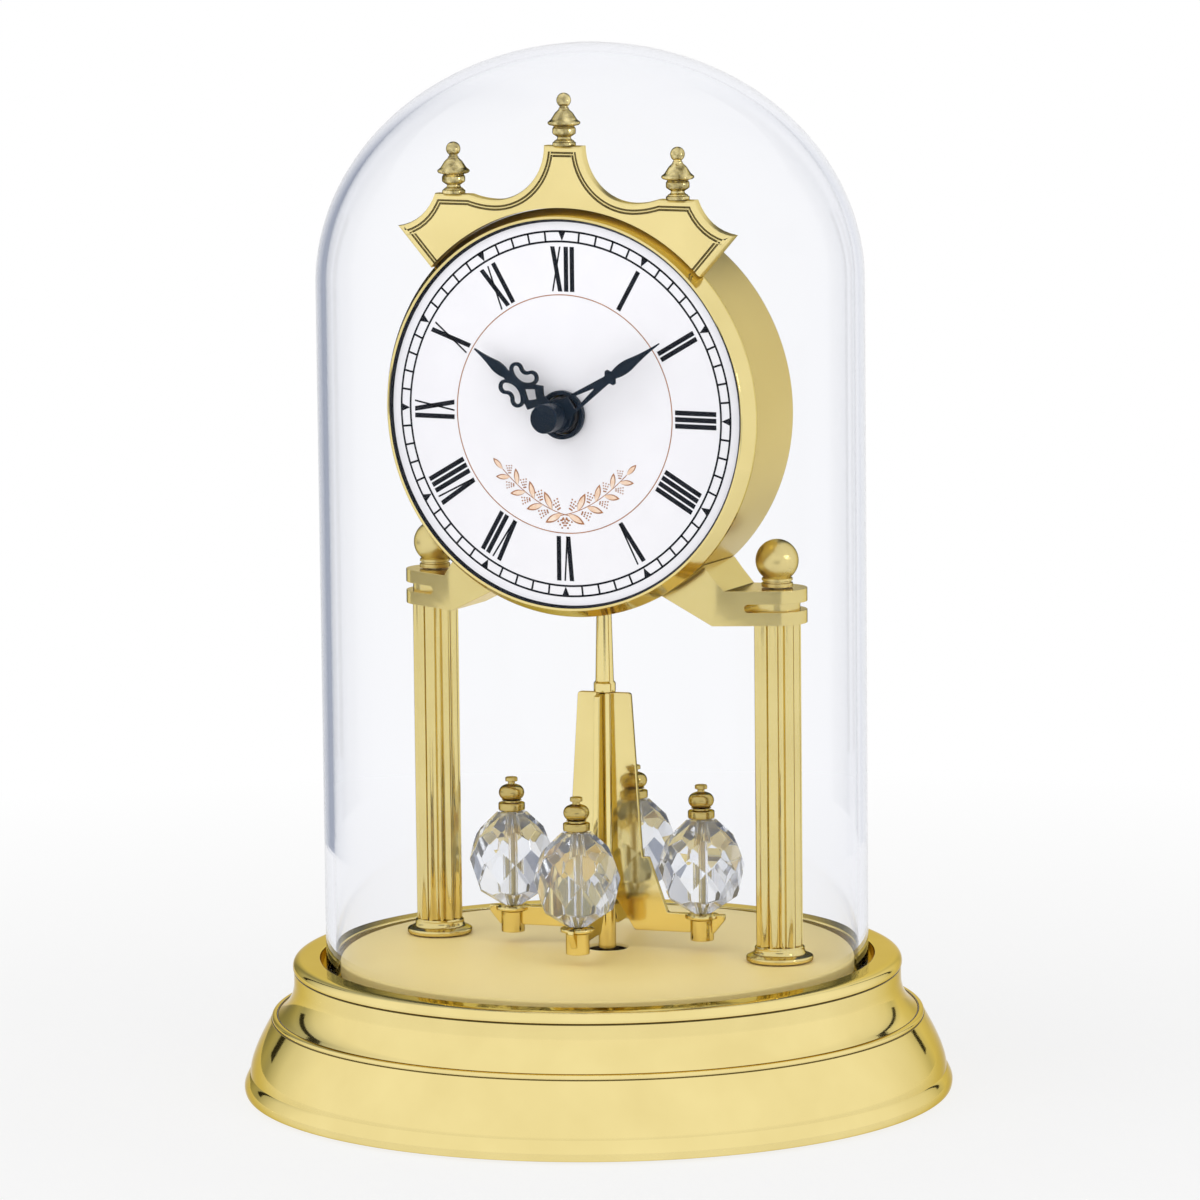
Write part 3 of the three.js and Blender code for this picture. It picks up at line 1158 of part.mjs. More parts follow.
function dropCap() {
  const shankEnd = CUP_TOP_Z - SHANK_IN_CUP;
  const discTop = CAP_Z + CAP_DISC_HEIGHT;
  const bulbLow = discTop + CAP_NECK_HEIGHT;
  const bulbTop = bulbLow + CAP_BULB_HEIGHT;
  const bulbMiddle = (bulbLow + bulbTop) / 2;
  const buttonLow = bulbTop + CAP_STALK_HEIGHT;
  const top = buttonLow + CAP_BUTTON_HEIGHT;
  const profile = outline(
    [0, shankEnd],
    [[SHANK_RADIUS, shankEnd]],
    [[SHANK_RADIUS, CAP_Z]],
    [[CAP_DISC_RADIUS, CAP_Z]],
    [[CAP_DISC_RADIUS, discTop]],
    [[CAP_NECK_RADIUS, discTop]],
    [[CAP_NECK_RADIUS, bulbLow]],
    [[CAP_BULB_RADIUS, bulbLow], [CAP_BULB_RADIUS, bulbMiddle], 2],
    [[CAP_BULB_RADIUS, bulbTop], [CAP_STALK_RADIUS, bulbTop], 2],
    [[CAP_STALK_RADIUS, buttonLow]],
    [[CAP_BUTTON_RADIUS, buttonLow]],
    [[CAP_BUTTON_RADIUS, top]],
    [[0, top]],
  );
  return turned(profile, SMALL_SIDES);
}

add(pendulum, 'pendulum_stem', pendulumStem(), gold);
add(pendulum, 'pendulum_rotor', pendulumRotor(), gold);
add(pendulum, 'pendulum_guide', pendulumGuide(), gold);
for (const number of [1, 2, 3, 4]) {
  const arm = new THREE.Group();
  arm.rotation.z = (number - 1) * QUARTER;
  pendulum.add(arm);
  add(arm, `crystal_${number}`, facetedDrop(), glass).position.x = ARM_RADIUS;
  add(arm, `crystal_cap_${number}`, dropCap(), brass).position.x = ARM_RADIUS;
}

// Dome

function glassDome() {
  const crown = (radius, height) =>
    arc([0, 0], 1, 0, QUARTER, CROWN_STEPS).map(([x, y], i) => [
      i < CROWN_STEPS ? radius * x : 0,
      DOME_SPRING_Z + height * y,
    ]);
  const outer = crown(DOME_RADIUS, DOME_CAP_HEIGHT);
  const inner = crown(DOME_INNER_RADIUS, DOME_CAP_HEIGHT - DOME_WALL).reverse();
  return turned([[DOME_RADIUS, DOME_Z], ...outer, ...inner, [DOME_INNER_RADIUS, DOME_Z]], WIDE_SIDES);
}

add(clock, 'glass_dome', glassDome(), glass);

export default clock;
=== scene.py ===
"""Glass dome clock with a revolving pendulum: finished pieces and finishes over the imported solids.

Sizes are in millimetres and are scaled to metres when a piece is finished. Pieces of the head are
drawn as seen from the front, with +Z towards the viewer, and are then stood up by HEAD.
"""
import math

import bmesh
import bpy
from mathutils import Matrix, Vector
from mathutils.geometry import tessellate_polygon


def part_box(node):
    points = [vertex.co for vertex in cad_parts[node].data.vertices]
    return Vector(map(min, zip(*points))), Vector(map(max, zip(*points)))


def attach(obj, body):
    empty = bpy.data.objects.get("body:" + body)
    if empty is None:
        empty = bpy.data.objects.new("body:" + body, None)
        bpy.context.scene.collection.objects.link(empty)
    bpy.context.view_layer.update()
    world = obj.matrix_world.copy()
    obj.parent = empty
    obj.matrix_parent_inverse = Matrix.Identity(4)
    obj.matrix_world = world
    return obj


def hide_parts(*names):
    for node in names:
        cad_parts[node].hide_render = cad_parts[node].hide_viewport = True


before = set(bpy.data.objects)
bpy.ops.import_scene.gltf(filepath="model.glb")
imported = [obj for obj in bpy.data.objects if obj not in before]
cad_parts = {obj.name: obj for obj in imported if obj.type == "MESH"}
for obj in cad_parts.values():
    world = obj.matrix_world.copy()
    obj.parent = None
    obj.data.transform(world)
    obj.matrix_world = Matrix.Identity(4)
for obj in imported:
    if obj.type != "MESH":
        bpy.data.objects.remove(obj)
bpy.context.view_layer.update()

scene = bpy.context.scene

MM = 0.001
WELD = 1e-4
FLAT = 0.001
WIDE_SIDES = 192
ROUND_SIDES = 96
SMALL_SIDES = 48
FILLET_STEPS = 4
FILLET_SHARE = 0.49
CURVE_STEPS = 10
MITRE_LIMIT = 0.35

# Fits: how far pieces sink into each other, and the small gaps between them
SEAT = 0.3
GAP = 0.1
HAIR = 0.05

# Camera, fitted to the photograph
CAMERA_AZIMUTH = 26.22
CAMERA_ELEVATION = 8.09
CAMERA_ROLL = -0.6
CAMERA_DISTANCE = 1493.45
CAMERA_AIM_ACROSS = 1.38
CAMERA_AIM_UP = 107.53
CAMERA_LENS = 207.2
SENSOR = 36

# Base, from the foot up
LIP_HEIGHT = 4.4
LIP_OVERHANG = 1.3
LIP_EDGE = 1.6
LIP_ROUND = 0.9
BELL_HEIGHT = 11.6
BELL_FLARE = 4.7
BELL_SHOULDER = 3.6
LEDGE_ROUND = 1.2
COVE_DEPTH = 4.9
COVE_RISE = 2.2
RIM_HEIGHT = 5.5
RIM_WIDTH = 6
RIM_ROUND = 2.6
RIM_CREASE = 2.6
GROOVE_DEPTH = 3.4
CREASE = 0.22
SHELL_WALL = 1.8
SHELL_LEDGE = 9.4
PLATFORM_EDGE = 0.6
GUIDE_HOLE = 4.4
BUSH_HOLE = 2.2
SLEEVE_WALL = 0.4
PAD_EDGE = 0.3
BUSH_EDGE = 0.3

# Columns and brackets
FLUTES = 12
FLUTE_STEPS = 14
FLUTE_DEPTH = 0.75
FLUTE_LAND = 0.2
FOOT_EDGE = 1.0
FOOT_NECK = 5.35
FOOT_FLARE = 0.6
FOOT_RISE = 0.55
FOOT_BEND = 0.7
BALL_RADIUS = 4.6
BALL_NECK = 2.95
COLLAR_STEPS = ((3.35, 0.0), (3.35, 0.75), (3.0, 0.9), (3.0, 1.15), (3.3, 1.3), (3.3, 1.75))
BAR_HEIGHT = 7.5
BAR_END = 6.4
BAR_SHOULDER = 7.7
BAR_KNEE = 2.4
BRACKET_FRONT = 11.4
BRACKET_BACK = 4.6
ROOT_ANGLE = 26
ROOT_SPAN = 16.4
SLOT_HEIGHT = 1.8
SLOT_DEPTH = 1.5
SLOT_REACH = 3
BRACKET_EDGE = 0.75

# Drum, bezel and dial
DRUM_WALL = 1.6
DRUM_FRONT_WALL = 1.2
DRUM_EDGE = 0.6
BACK_LEDGE = 1.6
BACK_LEDGE_THICKNESS = 1.5
BEZEL_LIP = 2.2
BEZEL_CROWN = 1.0
BEZEL_CROWN_INSET = 0.45
BEZEL_SEAT = 0.55
BEZEL_BEVEL = 2.3
BEZEL_SLEEVE = 0.5
# A black ring of painted shade inside the bezel's lip
SHADE_RING = 0.6
SHADE_RING_RISE = 0.75
SHADE_RING_TIP = 0.1
SHADE_RING_GAP = 0.02
DIAL_EDGE = 0.1
NUT_EDGE = 0.25
DIAL_INSET = 0.9
STEM_HOLE = 3.0
NECK_HOLE = 4.3
PRINT = 0.04

# Back cover and movement
WINDOW_GAP = 0.5
WINDOW_ROUND = 1.2
COVER_EDGE = 0.4
SCREWS = 4
SCREW_INSET = 4.6
SCREW_HEAD = 1.6
SCREW_RISE = 1.1
SCREW_SLOT = 0.45
CASE_EDGE = 0.4
CELL_WRAP = 0.4
CELL_NUB = 1
CELL_NUB_RADIUS = 2.6
KNURLS = 36
KNURL_DEPTH = 0.3
KNOB_FACE = 0.5

# Dial print
TRACK_OUTER = 39.2
TRACK_INNER = 37.0
TRACK_LINE = 0.42
MARKER_WIDTH = 1.75
MARKER_DEPTH = 2.05
MARKER_SHIFT = 0.3
NUMERAL_LOW = 26.3
NUMERAL_HIGH = 35.9
THICK_STROKE = 1.02
THIN_STROKE = 0.36
I_WIDTH = 1.02
V_WIDTH = 2.65
V_FOOT = 0.25
X_WIDTH = 2.8
LETTER_GAP = 0.4
RING_RADIUS = 25.6
RING_LINE = 0.2
SPRAY_CROSS = -1.6
SPRAY_FOOT = -21.9
SPRAY_BEND = 6.5
SPRAY_SAG = -20.8
SPRAY_REACH = 14.8
SPRAY_TIP = -12.4
SPRAY_LEAVES = 9
SPRAY_LEAF = 4.6
SPRAY_WIDTH = 1.6
SPRAY_LEAN = 0.75
SPRAY_STEM = 0.16
SPRAY_DOT = 0.2
SPRAY_TAPER = 0.3
FILL_LENGTH = 0.86
FILL_WIDTH = 0.72
STEM_STEPS = 40
LEAF_SIDES = 24
DOT_SIDES = 10
FAN_START = 2.3
FAN_LENGTH = 2.1
FAN_WIDTH = 0.9
FAN_SPREAD = 0.55
FAN_ROWS = 4
FAN_DOTS = 3

# Crest
CREST_SWEEP = 11.8
CREST_TOP_HALF = 4.5
CREST_DIP = 45.5
CREST_DIP_WIDTH = 6.1
CREST_SHOULDER = 46.5
CREST_SHOULDER_WIDTH = 8.4
CREST_TIP_RADIUS = 56
CREST_TIP_ANGLE = 45.5
CREST_FOOT_ANGLE = 46.5
CREST_HOLLOW = 1.7
CREST_BORDER = ((0, -0.6), (0.18, -0.2), (0.55, 0), (1.28, 0), (1.34, -0.45), (1.64, -0.45), (1.72, -0.06),
                (1.84, 0), (1.96, -0.06), (2.04, -0.45), (2.36, -0.45), (2.42, 0))
# Where the strips of painted shade lie in the border's two grooves, and their size
CREST_GROOVES = (1.34, 2.04)
GROOVE_WIDTH = 0.3
GROOVE_FLOOR = 0.4
GROOVE_FACE = 0.14

# Finials, as radius and height
FINIAL_FLANGE = 2.5
FINIAL_WAIST = 1.45
FINIAL_BULGE = 2.5
FINIAL_BODY = 3.5
FINIAL_NECK = 0.9
FINIAL_BALL = 1.55

# Hands
MINUTE_ANGLE = 56.5
HOUR_ANGLE = 304.7
HAND_THICKNESS = 0.6
HAND_EDGE = 0.1
MINUTE_BOSS = 3.0
HOUR_BOSS = 3.6
LOOP_CENTRE = (4.3, 11.8)
LOOP_RADIUS = 2.6
LOOP_HALF = 1.6
LOOP_HOLE_HALF = 0.85
LOOP_ENDS = (140, 240)

# Pendulum
PENDULUM_ANGLE = 9
ARM_RADIUS = 21.6
FIN_THICKNESS = 1.3
FIN_EDGE = 0.22
HUB_RADIUS = 1.9
CUP_HEIGHT = 4.6
CUP_FLANGE = 1.2
ARM_DEPTH = 4.2
ARCH_RISE = 7.5
FIN_STEP = 12
TANG_RADIUS = 0.8
STEM_RADIUS = 1.6
GUIDE_RADIUS = 1.9
GUIDE_TANG = 4
DROP_SIDES = 8
DROP_FOOT = 2.2
DROP_LOW = 7.2
DROP_BELLY = 8.6
DROP_WIDEST = 8.8
DROP_HIGH = 7.2
DROP_TOP = 3.0
DROP_ROWS = (3.4, 4.4, 3.9, 4.5, 4.3)
DROP_BORE = 1.0
DROP_EDGE = 0.08
CAP_HEIGHT = 7.3
SHANK_RADIUS = 0.7

# Dome
DOME_WALL = 2.1
DOME_FOOT = 1.0
DOME_CROWN = 51.5
DOME_STEPS = 40

# Stage, with the tent's azimuths in degrees round from the camera
WORLD_LIGHT = 0.35
LAMP_DISTANCE = 1300
FLOOR_SIZE = 6000
FLOOR_NEAR = 110
FLOOR_FAR = 420
FLOOR_GLOW = 0.8
TENT_RADIUS = 320
TENT_FOOT = 1
TENT_HEIGHT = 900
TONE_POWERS = (1.15, 1.05, 0.85)
WING_AZIMUTH = 104
WING_TONES = ((-180, 1.0), (-162, 0.95), (-150, 0.38), (-144, 0.45), (-138, 0.6), (-131, 0.52), (-120, 0.85),
              (-104, 1.0), (104, 1.0), (124, 0.92), (131, 0.75), (138, 1.0), (146, 0.94), (151, 0.82),
              (158, 1.0), (180, 1.0))
INNER_TONES = ((-180, 1.0), (-172, 0.9), (-166, 0.1), (-146, 0.1), (-139, 0.9), (-120, 1.0), (120, 1.0),
               (139, 0.95), (147, 0.1), (165, 0.1), (172, 0.9), (180, 1.0))
DROP_TONES = ((-180, 1.0), (-155, 0.3), (-145, 0.3), (-135, 1.0), (-105, 1.0), (-97, 0.3), (-85, 0.3),
              (-77, 1.0), (-55, 1.0), (-47, 0.3), (-35, 0.3), (-27, 1.0), (5, 1.0), (13, 0.3), (25, 0.3),
              (33, 1.0), (65, 1.0), (73, 0.3), (85, 0.3), (93, 1.0), (120, 1.0), (128, 0.3), (142, 0.3),
              (150, 1.0), (180, 1.0))
MIRROR_DEPTH = 0.5
DOME_DEPTH = 2.5
DROP_DEPTH = 4.5
CARD_PLACE = 12


# Places taken from the frame

def span(node):
    """Lowest and highest corner of a CAD node, in millimetres."""
    low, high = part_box(node)
    return low / MM, high / MM


shell_low, shell_high = span("base_shell")
platform_low, platform_high = span("base_plate")
drum_low, drum_high = span("drum_case")
column_low, column_high = span("column_right")
dome_low, dome_high = span("glass_dome")
rotor_low, rotor_high = span("pendulum_rotor")
DRUM_RADIUS = drum_high.x
HEAD_Z = (drum_low.z + drum_high.z) / 2
COLUMN_X = (column_low.x + column_high.x) / 2
AXIS_Y = (column_low.y + column_high.y) / 2
CUP_FLANGE_Z = rotor_low.z + CUP_HEIGHT
CUP_TOP_Z = CUP_FLANGE_Z + CUP_FLANGE
ARM_Z = CUP_TOP_Z - ARM_DEPTH
ARCH_Z = ARM_Z + ARCH_RISE


def turn(degrees, axis="Z"):
    return Matrix.Rotation(math.radians(degrees), 4, axis)


def at(x, y, z=0):
    return Matrix.Translation((x, y, z))


UPRIGHT = turn(90, "X")
HEAD = at(0, 0, HEAD_Z) @ UPRIGHT
PENDULUM = at(0, AXIS_Y) @ turn(PENDULUM_ANGLE)


# Outlines

def arc(centre, radius, start, end, steps):
    """Points along an arc, with angles in degrees."""
    angles = [math.radians(start + (end - start) * i / steps) for i in range(steps + 1)]
    return [(centre[0] + radius * math.cos(a), centre[1] + radius * math.sin(a)) for a in angles]


def circle(radius, sides=ROUND_SIDES, centre=(0, 0)):
    return arc(centre, radius, 0, 360, sides)[:-1]


def curve(start, control, end, steps=CURVE_STEPS):
    """Points of a curve after its start, pulled towards one control point."""
    start, control, end = Vector(start), Vector(control), Vector(end)
    shares = [i / steps for i in range(1, steps + 1)]
    return [tuple(start * (1 - t) ** 2 + control * (2 * t * (1 - t)) + end * t * t) for t in shares]


def soften(*corners):
    """An outline whose (x, y, radius) corners are rounded and whose (x, y) corners stay."""
    points = []
    for i, corner in enumerate(corners):
        here = Vector(corner[:2])
        if len(corner) == 2:
            points.append(tuple(here))
            continue
        to_last = Vector(corners[i - 1][:2]) - here
        to_next = Vector(corners[(i + 1) % len(corners)][:2]) - here
        half = to_last.angle(to_next) / 2
        reach = min(corner[2] / math.tan(half), FILLET_SHARE * min(to_last.length, to_next.length))
        start = here + to_last.normalized() * reach
        end = here + to_next.normalized() * reach
        points += [tuple(start), *curve(start, here, end, FILLET_STEPS)]
    return points


def both_sides(points):
    """A right-hand edge from top to bottom, joined to its mirror image."""
    return [*points, *((-x, y) for x, y in reversed(points))]


def signed_area(ring):
    pairs = zip(ring, [*ring[1:], ring[0]])
    return sum(a[0] * b[1] - b[0] * a[1] for a, b in pairs) / 2


def moved_left(points, distance, closed=True):
    """A line moved to its left by a distance, with mitred corners."""
    line = [Vector(p) for p in points]
    count = len(line)
    moved = []
    for i, here in enumerate(line):
        before = line[i - 1] if closed or i else here - (line[1] - here)
        after = line[(i + 1) % count] if closed or i < count - 1 else here + (here - line[i - 1])
        back = (here - before).normalized()
        ahead = (after - here).normalized()
        normals = Vector((-back.y, back.x)), Vector((-ahead.y, ahead.x))
        mitre = (normals[0] + normals[1]) / max(1 + normals[0].dot(normals[1]), MITRE_LIMIT)
        moved.append(tuple(here + mitre * distance))
    return moved


# Solids

def plain_mesh(shape, name="shape"):
    """A mesh from a bmesh, which is then freed."""
    mesh = bpy.data.meshes.new(name)
    shape.to_mesh(mesh)
    shape.free()
    return mesh


def mesh_of(shape):
    """A finished mesh from a bmesh, welded and with its faces pointing out."""
    bmesh.ops.remove_doubles(shape, verts=shape.verts, dist=WELD)
    bmesh.ops.recalc_face_normals(shape, faces=shape.faces)
    return plain_mesh(shape)


def turned(profile, sides=ROUND_SIDES):
    """A solid turned about +Z from (radius, height) points. Its ends meet the axis or each other."""
    shape = bmesh.new()
    rings = []
    for radius, height in profile:
        if radius < WELD:
            rings.append([shape.verts.new((0, 0, height))])
        else:
            rings.append([shape.verts.new((x, y, height)) for x, y in circle(radius, sides)])
    pairs = list(zip(rings, rings[1:]))
    if len(rings[0]) > 1:
        pairs.append((rings[-1], rings[0]))
    for low, high in pairs:
        for i in range(sides):
            lower = [low[k % len(low)] for k in (i, i + 1)]
            upper = [high[k % len(high)] for k in (i + 1, i)]
            distinct = list(dict.fromkeys((*lower, *upper)))
            if len(distinct) > 2:
                shape.faces.new(distinct)
    return mesh_of(shape)


def ring_section(inner, outer, low, high):
    """The section of a plain ring."""
    return [(inner, low), (outer, low), (outer, high), (inner, high)]


def rod(radius, low, high):
    return turned(ring_section(0, radius, low, high), SMALL_SIDES)


def plate(outline, *holes, low, high, edge=0.0):
    """A flat plate between two heights, with rounded edges round its outline and holes."""
    rings = [outline if signed_area(outline) > 0 else outline[::-1]]
    rings += [hole if signed_area(hole) < 0 else hole[::-1] for hole in holes]
    steps = FILLET_STEPS if edge else 0
    quarter = [math.pi / 2 * i / FILLET_STEPS for i in range(steps + 1)]
    section = [(edge * (1 - math.cos(a)), high - edge + edge * math.sin(a)) for a in quarter]
    section = [(inset, low + high - height) for inset, height in reversed(section)] + section
    shape = bmesh.new()
    levels = []
    for inset, height in section:
        level = [moved_left(ring, inset) if inset > WELD else ring for ring in rings]
        levels.append([[shape.verts.new((x, y, height)) for x, y in ring] for ring in level])
    for below, above in zip(levels, levels[1:]):
        for ring, upper in zip(below, above):
            for i in range(len(ring)):
                shape.faces.new((ring[i - 1], ring[i], upper[i], upper[i - 1]))
    for level in (levels[0], levels[-1]):
        corners = [corner for ring in level for corner in ring]
        for triangle in tessellate_polygon([[corner.co for corner in ring] for ring in level]):
            shape.faces.new([corners[i] for i in triangle])
    if not holes and not edge:
        bmesh.ops.dissolve_limit(shape, angle_limit=FLAT, verts=shape.verts, edges=shape.edges,
                                 delimit={"NORMAL"})
    return mesh_of(shape)


def joined(*meshes):
    """Several meshes as one, without cutting them where they overlap."""
    shape = bmesh.new()
    for mesh in meshes:
        shape.from_mesh(mesh)
        bpy.data.meshes.remove(mesh)
    return plain_mesh(shape)


def placed(mesh, matrix):
    mesh.transform(matrix)
    if matrix.determinant() < 0:
        mesh.flip_normals()
    return mesh


def carrier_of(mesh):
    carrier = bpy.data.objects.new("carrier", mesh)
    scene.collection.objects.link(carrier)
    return carrier


def evaluated(carrier):
    """The plain mesh of an object with its modifiers applied. The object is removed."""
    dependencies = bpy.context.evaluated_depsgraph_get()
    mesh = bpy.data.meshes.new_from_object(carrier.evaluated_get(dependencies))
    bpy.data.objects.remove(carrier)
    return mesh


def carved(mesh, tool, operation="DIFFERENCE"):
    """A mesh cut by, joined to or shared with a second one."""
    carrier, cutter = carrier_of(mesh), carrier_of(tool)
    modifier = carrier.modifiers.new("Carve", "BOOLEAN")
    modifier.operation = operation
    modifier.solver = "EXACT"
    modifier.object = cutter
    result = evaluated(carrier)
    bpy.data.objects.remove(cutter)
    return result


def eased(mesh, width, angle=30, steps=3):
    """A mesh whose sharp edges are rounded."""
    carrier = carrier_of(mesh)
    modifier = carrier.modifiers.new("Ease", "BEVEL")
    modifier.width = width
    modifier.segments = steps
    modifier.limit_method = "ANGLE"
    modifier.angle_limit = math.radians(angle)
    return evaluated(carrier)


def finish(name, mesh, material, slot, *nodes, body="clock", place=None, sharp=35):
    """A finished piece in metres, riding on its body in place of its CAD nodes."""
    if place:
        placed(mesh, place)
    mesh.transform(Matrix.Scale(MM, 4))
    mesh.materials.clear()
    mesh.materials.append(material)
    mesh.shade_smooth()
    mesh.set_sharp_from_angle(angle=math.radians(sharp))
    carrier = carrier_of(mesh)
    even = carrier.modifiers.new("Even", "WEIGHTED_NORMAL")
    even.keep_sharp = True
    smooth = evaluated(carrier)
    smooth.name = name
    piece = bpy.data.objects.new(name, smooth)
    scene.collection.objects.link(piece)
    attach(piece, body)
    if nodes:
        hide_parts(*nodes)
    return piece


# Nodes

def add_node(tree, kind, inputs=None, **settings):
    """A node with its settings, and each input given a value or linked from another node's output."""
    node = tree.nodes.new(kind)
    for name, value in settings.items():
        setattr(node, name, value)
    for key, value in (inputs or {}).items():
        if isinstance(value, bpy.types.NodeSocket):
            tree.links.new(value, node.inputs[key])
        else:
            node.inputs[key].default_value = value
    return node


def output_of(tree, kind, inputs=None, **settings):
    """The first output of a new node."""
    return add_node(tree, kind, inputs, **settings).outputs[0]


def calculate(tree, operation, first, second=0.0):
    return output_of(tree, "ShaderNodeMath", {0: first, 1: second}, operation=operation)


def vector(tree, x, y, z):
    return output_of(tree, "ShaderNodeCombineXYZ", {"X": x, "Y": y, "Z": z})


def gathered(tree, *parts):
    """Several geometries as one."""
    everything = add_node(tree, "GeometryNodeJoinGeometry")
    for part in parts:
        tree.links.new(part, everything.inputs[0])
    return everything.outputs[0]


def growth(name, **sizes):
    """A Geometry Nodes tree with named inputs. Returns the tree, its inputs and their values."""
    tree = bpy.data.node_groups.new(name, "GeometryNodeTree")
    tree.interface.new_socket("Geometry", in_out="OUTPUT", socket_type="NodeSocketGeometry")
    values = {}
    for label, value in sizes.items():
        kind = "NodeSocketInt" if isinstance(value, int) else "NodeSocketFloat"
        socket = tree.interface.new_socket(label, in_out="INPUT", socket_type=kind)
        values[socket.identifier] = value
    return tree, add_node(tree, "NodeGroupInput").outputs, values


def grown(tree, values, geometry, material):
    """The plain mesh that a tree makes with these values."""
    realized = output_of(tree, "GeometryNodeRealizeInstances", {"Geometry": geometry})
    dressed = output_of(tree, "GeometryNodeSetMaterial", {"Geometry": realized, "Material": material})
    add_node(tree, "NodeGroupOutput", {"Geometry": dressed})
    carrier = carrier_of(bpy.data.meshes.new(tree.name))
    modifier = carrier.modifiers.new("Grow", "NODES")
    modifier.node_group = tree
    for identifier, value in values.items():
        modifier[identifier] = value
    return evaluated(carrier)


# Finishes

DRIFT_LOW = 0.3
DRIFT_HIGH = 0.7
GRAIN_HEIGHT = 0.2 * MM
GLASS_CLOUD = 40.0


def new_material(name):
    """A material with a Principled shader, and the tree that holds it."""
    material = bpy.data.materials.new(name)
    material.use_nodes = True
    tree = material.node_tree
    return material, tree, tree.nodes["Principled BSDF"]


def noise(tree, scale, detail=3.0):
    """Noise on the piece's own coordinates, as an output from 0 to 1."""
    place = add_node(tree, "ShaderNodeTexCoord").outputs["Object"]
    inputs = {"Vector": place, "Scale": scale, "Detail": detail}
    return add_node(tree, "ShaderNodeTexNoise", inputs).outputs["Fac"]


def between(tree, share, low, high):
    inputs = {"Value": share, "From Min": DRIFT_LOW, "From Max": DRIFT_HIGH, "To Min": low, "To Max": high}
    return output_of(tree, "ShaderNodeMapRange", inputs)


def blended(tree, share, first, second):
    ramp = add_node(tree, "ShaderNodeValToRGB", {"Fac": share})
    stops = zip(ramp.color_ramp.elements, (first, second), (DRIFT_LOW, DRIFT_HIGH))
    for stop, colour, position in stops:
        stop.color = (*colour, 1)
        stop.position = position
    return ramp.outputs[0]


def grained(name, deep, pale, rough, cloud, grain, grain_depth):
    """A material whose colour and gloss drift slowly, with a fine grain, and its shader's inputs."""
    material, tree, shader = new_material(name)
    drift = noise(tree, cloud)
    fine = noise(tree, grain, 2.0)
    inputs = {"Height": fine, "Strength": grain_depth, "Distance": GRAIN_HEIGHT}
    tree.links.new(blended(tree, drift, deep, pale), shader.inputs["Base Color"])
    tree.links.new(between(tree, drift, *rough), shader.inputs["Roughness"])
    tree.links.new(output_of(tree, "ShaderNodeBump", inputs), shader.inputs["Normal"])
    return material, shader.inputs


def metal(name, deep, pale, rough, cloud=60.0, grain=1500.0, grain_depth=0.02, metallic=1.0, rim=(1, 1, 1)):
    """A metal with a tint at glancing angles. A dark tint there is a painted dark reflection round the
    piece's silhouette.
    """
    material, inputs = grained(name, deep, pale, rough, cloud, grain, grain_depth)
    inputs["Specular Tint"].default_value = (*rim, 1)
    inputs["Metallic"].default_value = metallic
    return material


def coated(name, deep, pale, rough, cloud=200.0, grain=2500.0, grain_depth=0.1, coat=0.0, sheen=0.3):
    """A plastic, lacquer, paint or print."""
    material, inputs = grained(name, deep, pale, rough, cloud, grain, grain_depth)
    inputs["Specular IOR Level"].default_value = sheen
    inputs["Coat Weight"].default_value = coat
    inputs["Coat Roughness"].default_value = 0.1
    return material


def surfaced(tree, share, first, second):
    """Mixes two shaders into a material's surface."""
    mixed = output_of(tree, "ShaderNodeMixShader", {0: share, 1: first, 2: second})
    tree.links.new(mixed, tree.nodes["Material Output"].inputs["Surface"])


def clear(name, colour, rough, ior, through, tint, density):
    """Clear glass that lets lamps through and is tinted by its own depth."""
    material, tree, shader = new_material(name)
    shader.inputs["Base Color"].default_value = (*colour, 1)
    shader.inputs["Transmission Weight"].default_value = through
    shader.inputs["IOR"].default_value = ior
    shader.inputs["Roughness"].default_value = rough
    if rough:
        tree.links.new(between(tree, noise(tree, GLASS_CLOUD), 0.0, rough), shader.inputs["Roughness"])
    shadow = add_node(tree, "ShaderNodeLightPath").outputs["Is Shadow Ray"]
    surfaced(tree, shadow, shader.outputs[0], output_of(tree, "ShaderNodeBsdfTransparent"))
    depth = output_of(tree, "ShaderNodeVolumeAbsorption", {"Color": (*tint, 1), "Density": density})
    tree.links.new(depth, tree.nodes["Material Output"].inputs["Volume"])
    return material


GOLD_DEEP = (0.85, 0.70, 0.30)
GOLD_PALE = (0.92, 0.77, 0.345)
# Painted dark reflection: this dark brown glancing tint darkens each piece round its silhouette
GOLD_DARK_EDGE = (0.42, 0.33, 0.13)
GOLD_WARMTH = 0.35


def gold(name, shade, rough, rim=GOLD_DARK_EDGE, **grain):
    """Gold plate at a share of its full brightness, darker round its silhouette. A share below 1 is painted
    shade, and the darker silhouette is a painted dark reflection.
    """
    power = 1 + GOLD_WARMTH * (1 - shade)
    tones = [tuple(shade * channel ** power for channel in tone) for tone in (GOLD_DEEP, GOLD_PALE)]
    return metal(name, *tones, rough, rim=rim, **grain)


# Painted shade: the shares below 1 darken the arm, ball and column gold to stand for the shade they sit in
polished_gold = gold("polished_gold", 0.97, (0.06, 0.1))
spun_gold = gold("spun_gold", 0.98, (0.05, 0.08), (0.66, 0.54, 0.24))
crest_gold = gold("crest_gold", 1.0, (0.28, 0.34))
arm_gold = gold("arm_gold", 0.82, (0.16, 0.22), (0.9, 0.78, 0.45))
ball_gold = gold("ball_gold", 0.84, (0.26, 0.3))
column_gold = gold("column_gold", 0.87, (0.08, 0.12))
cast_gold = metal("cast_gold", (0.16, 0.12, 0.03), (0.97, 0.82, 0.4), (0.08, 0.16), cloud=520.0, grain=700.0,
                  grain_depth=0.5, rim=GOLD_DARK_EDGE)
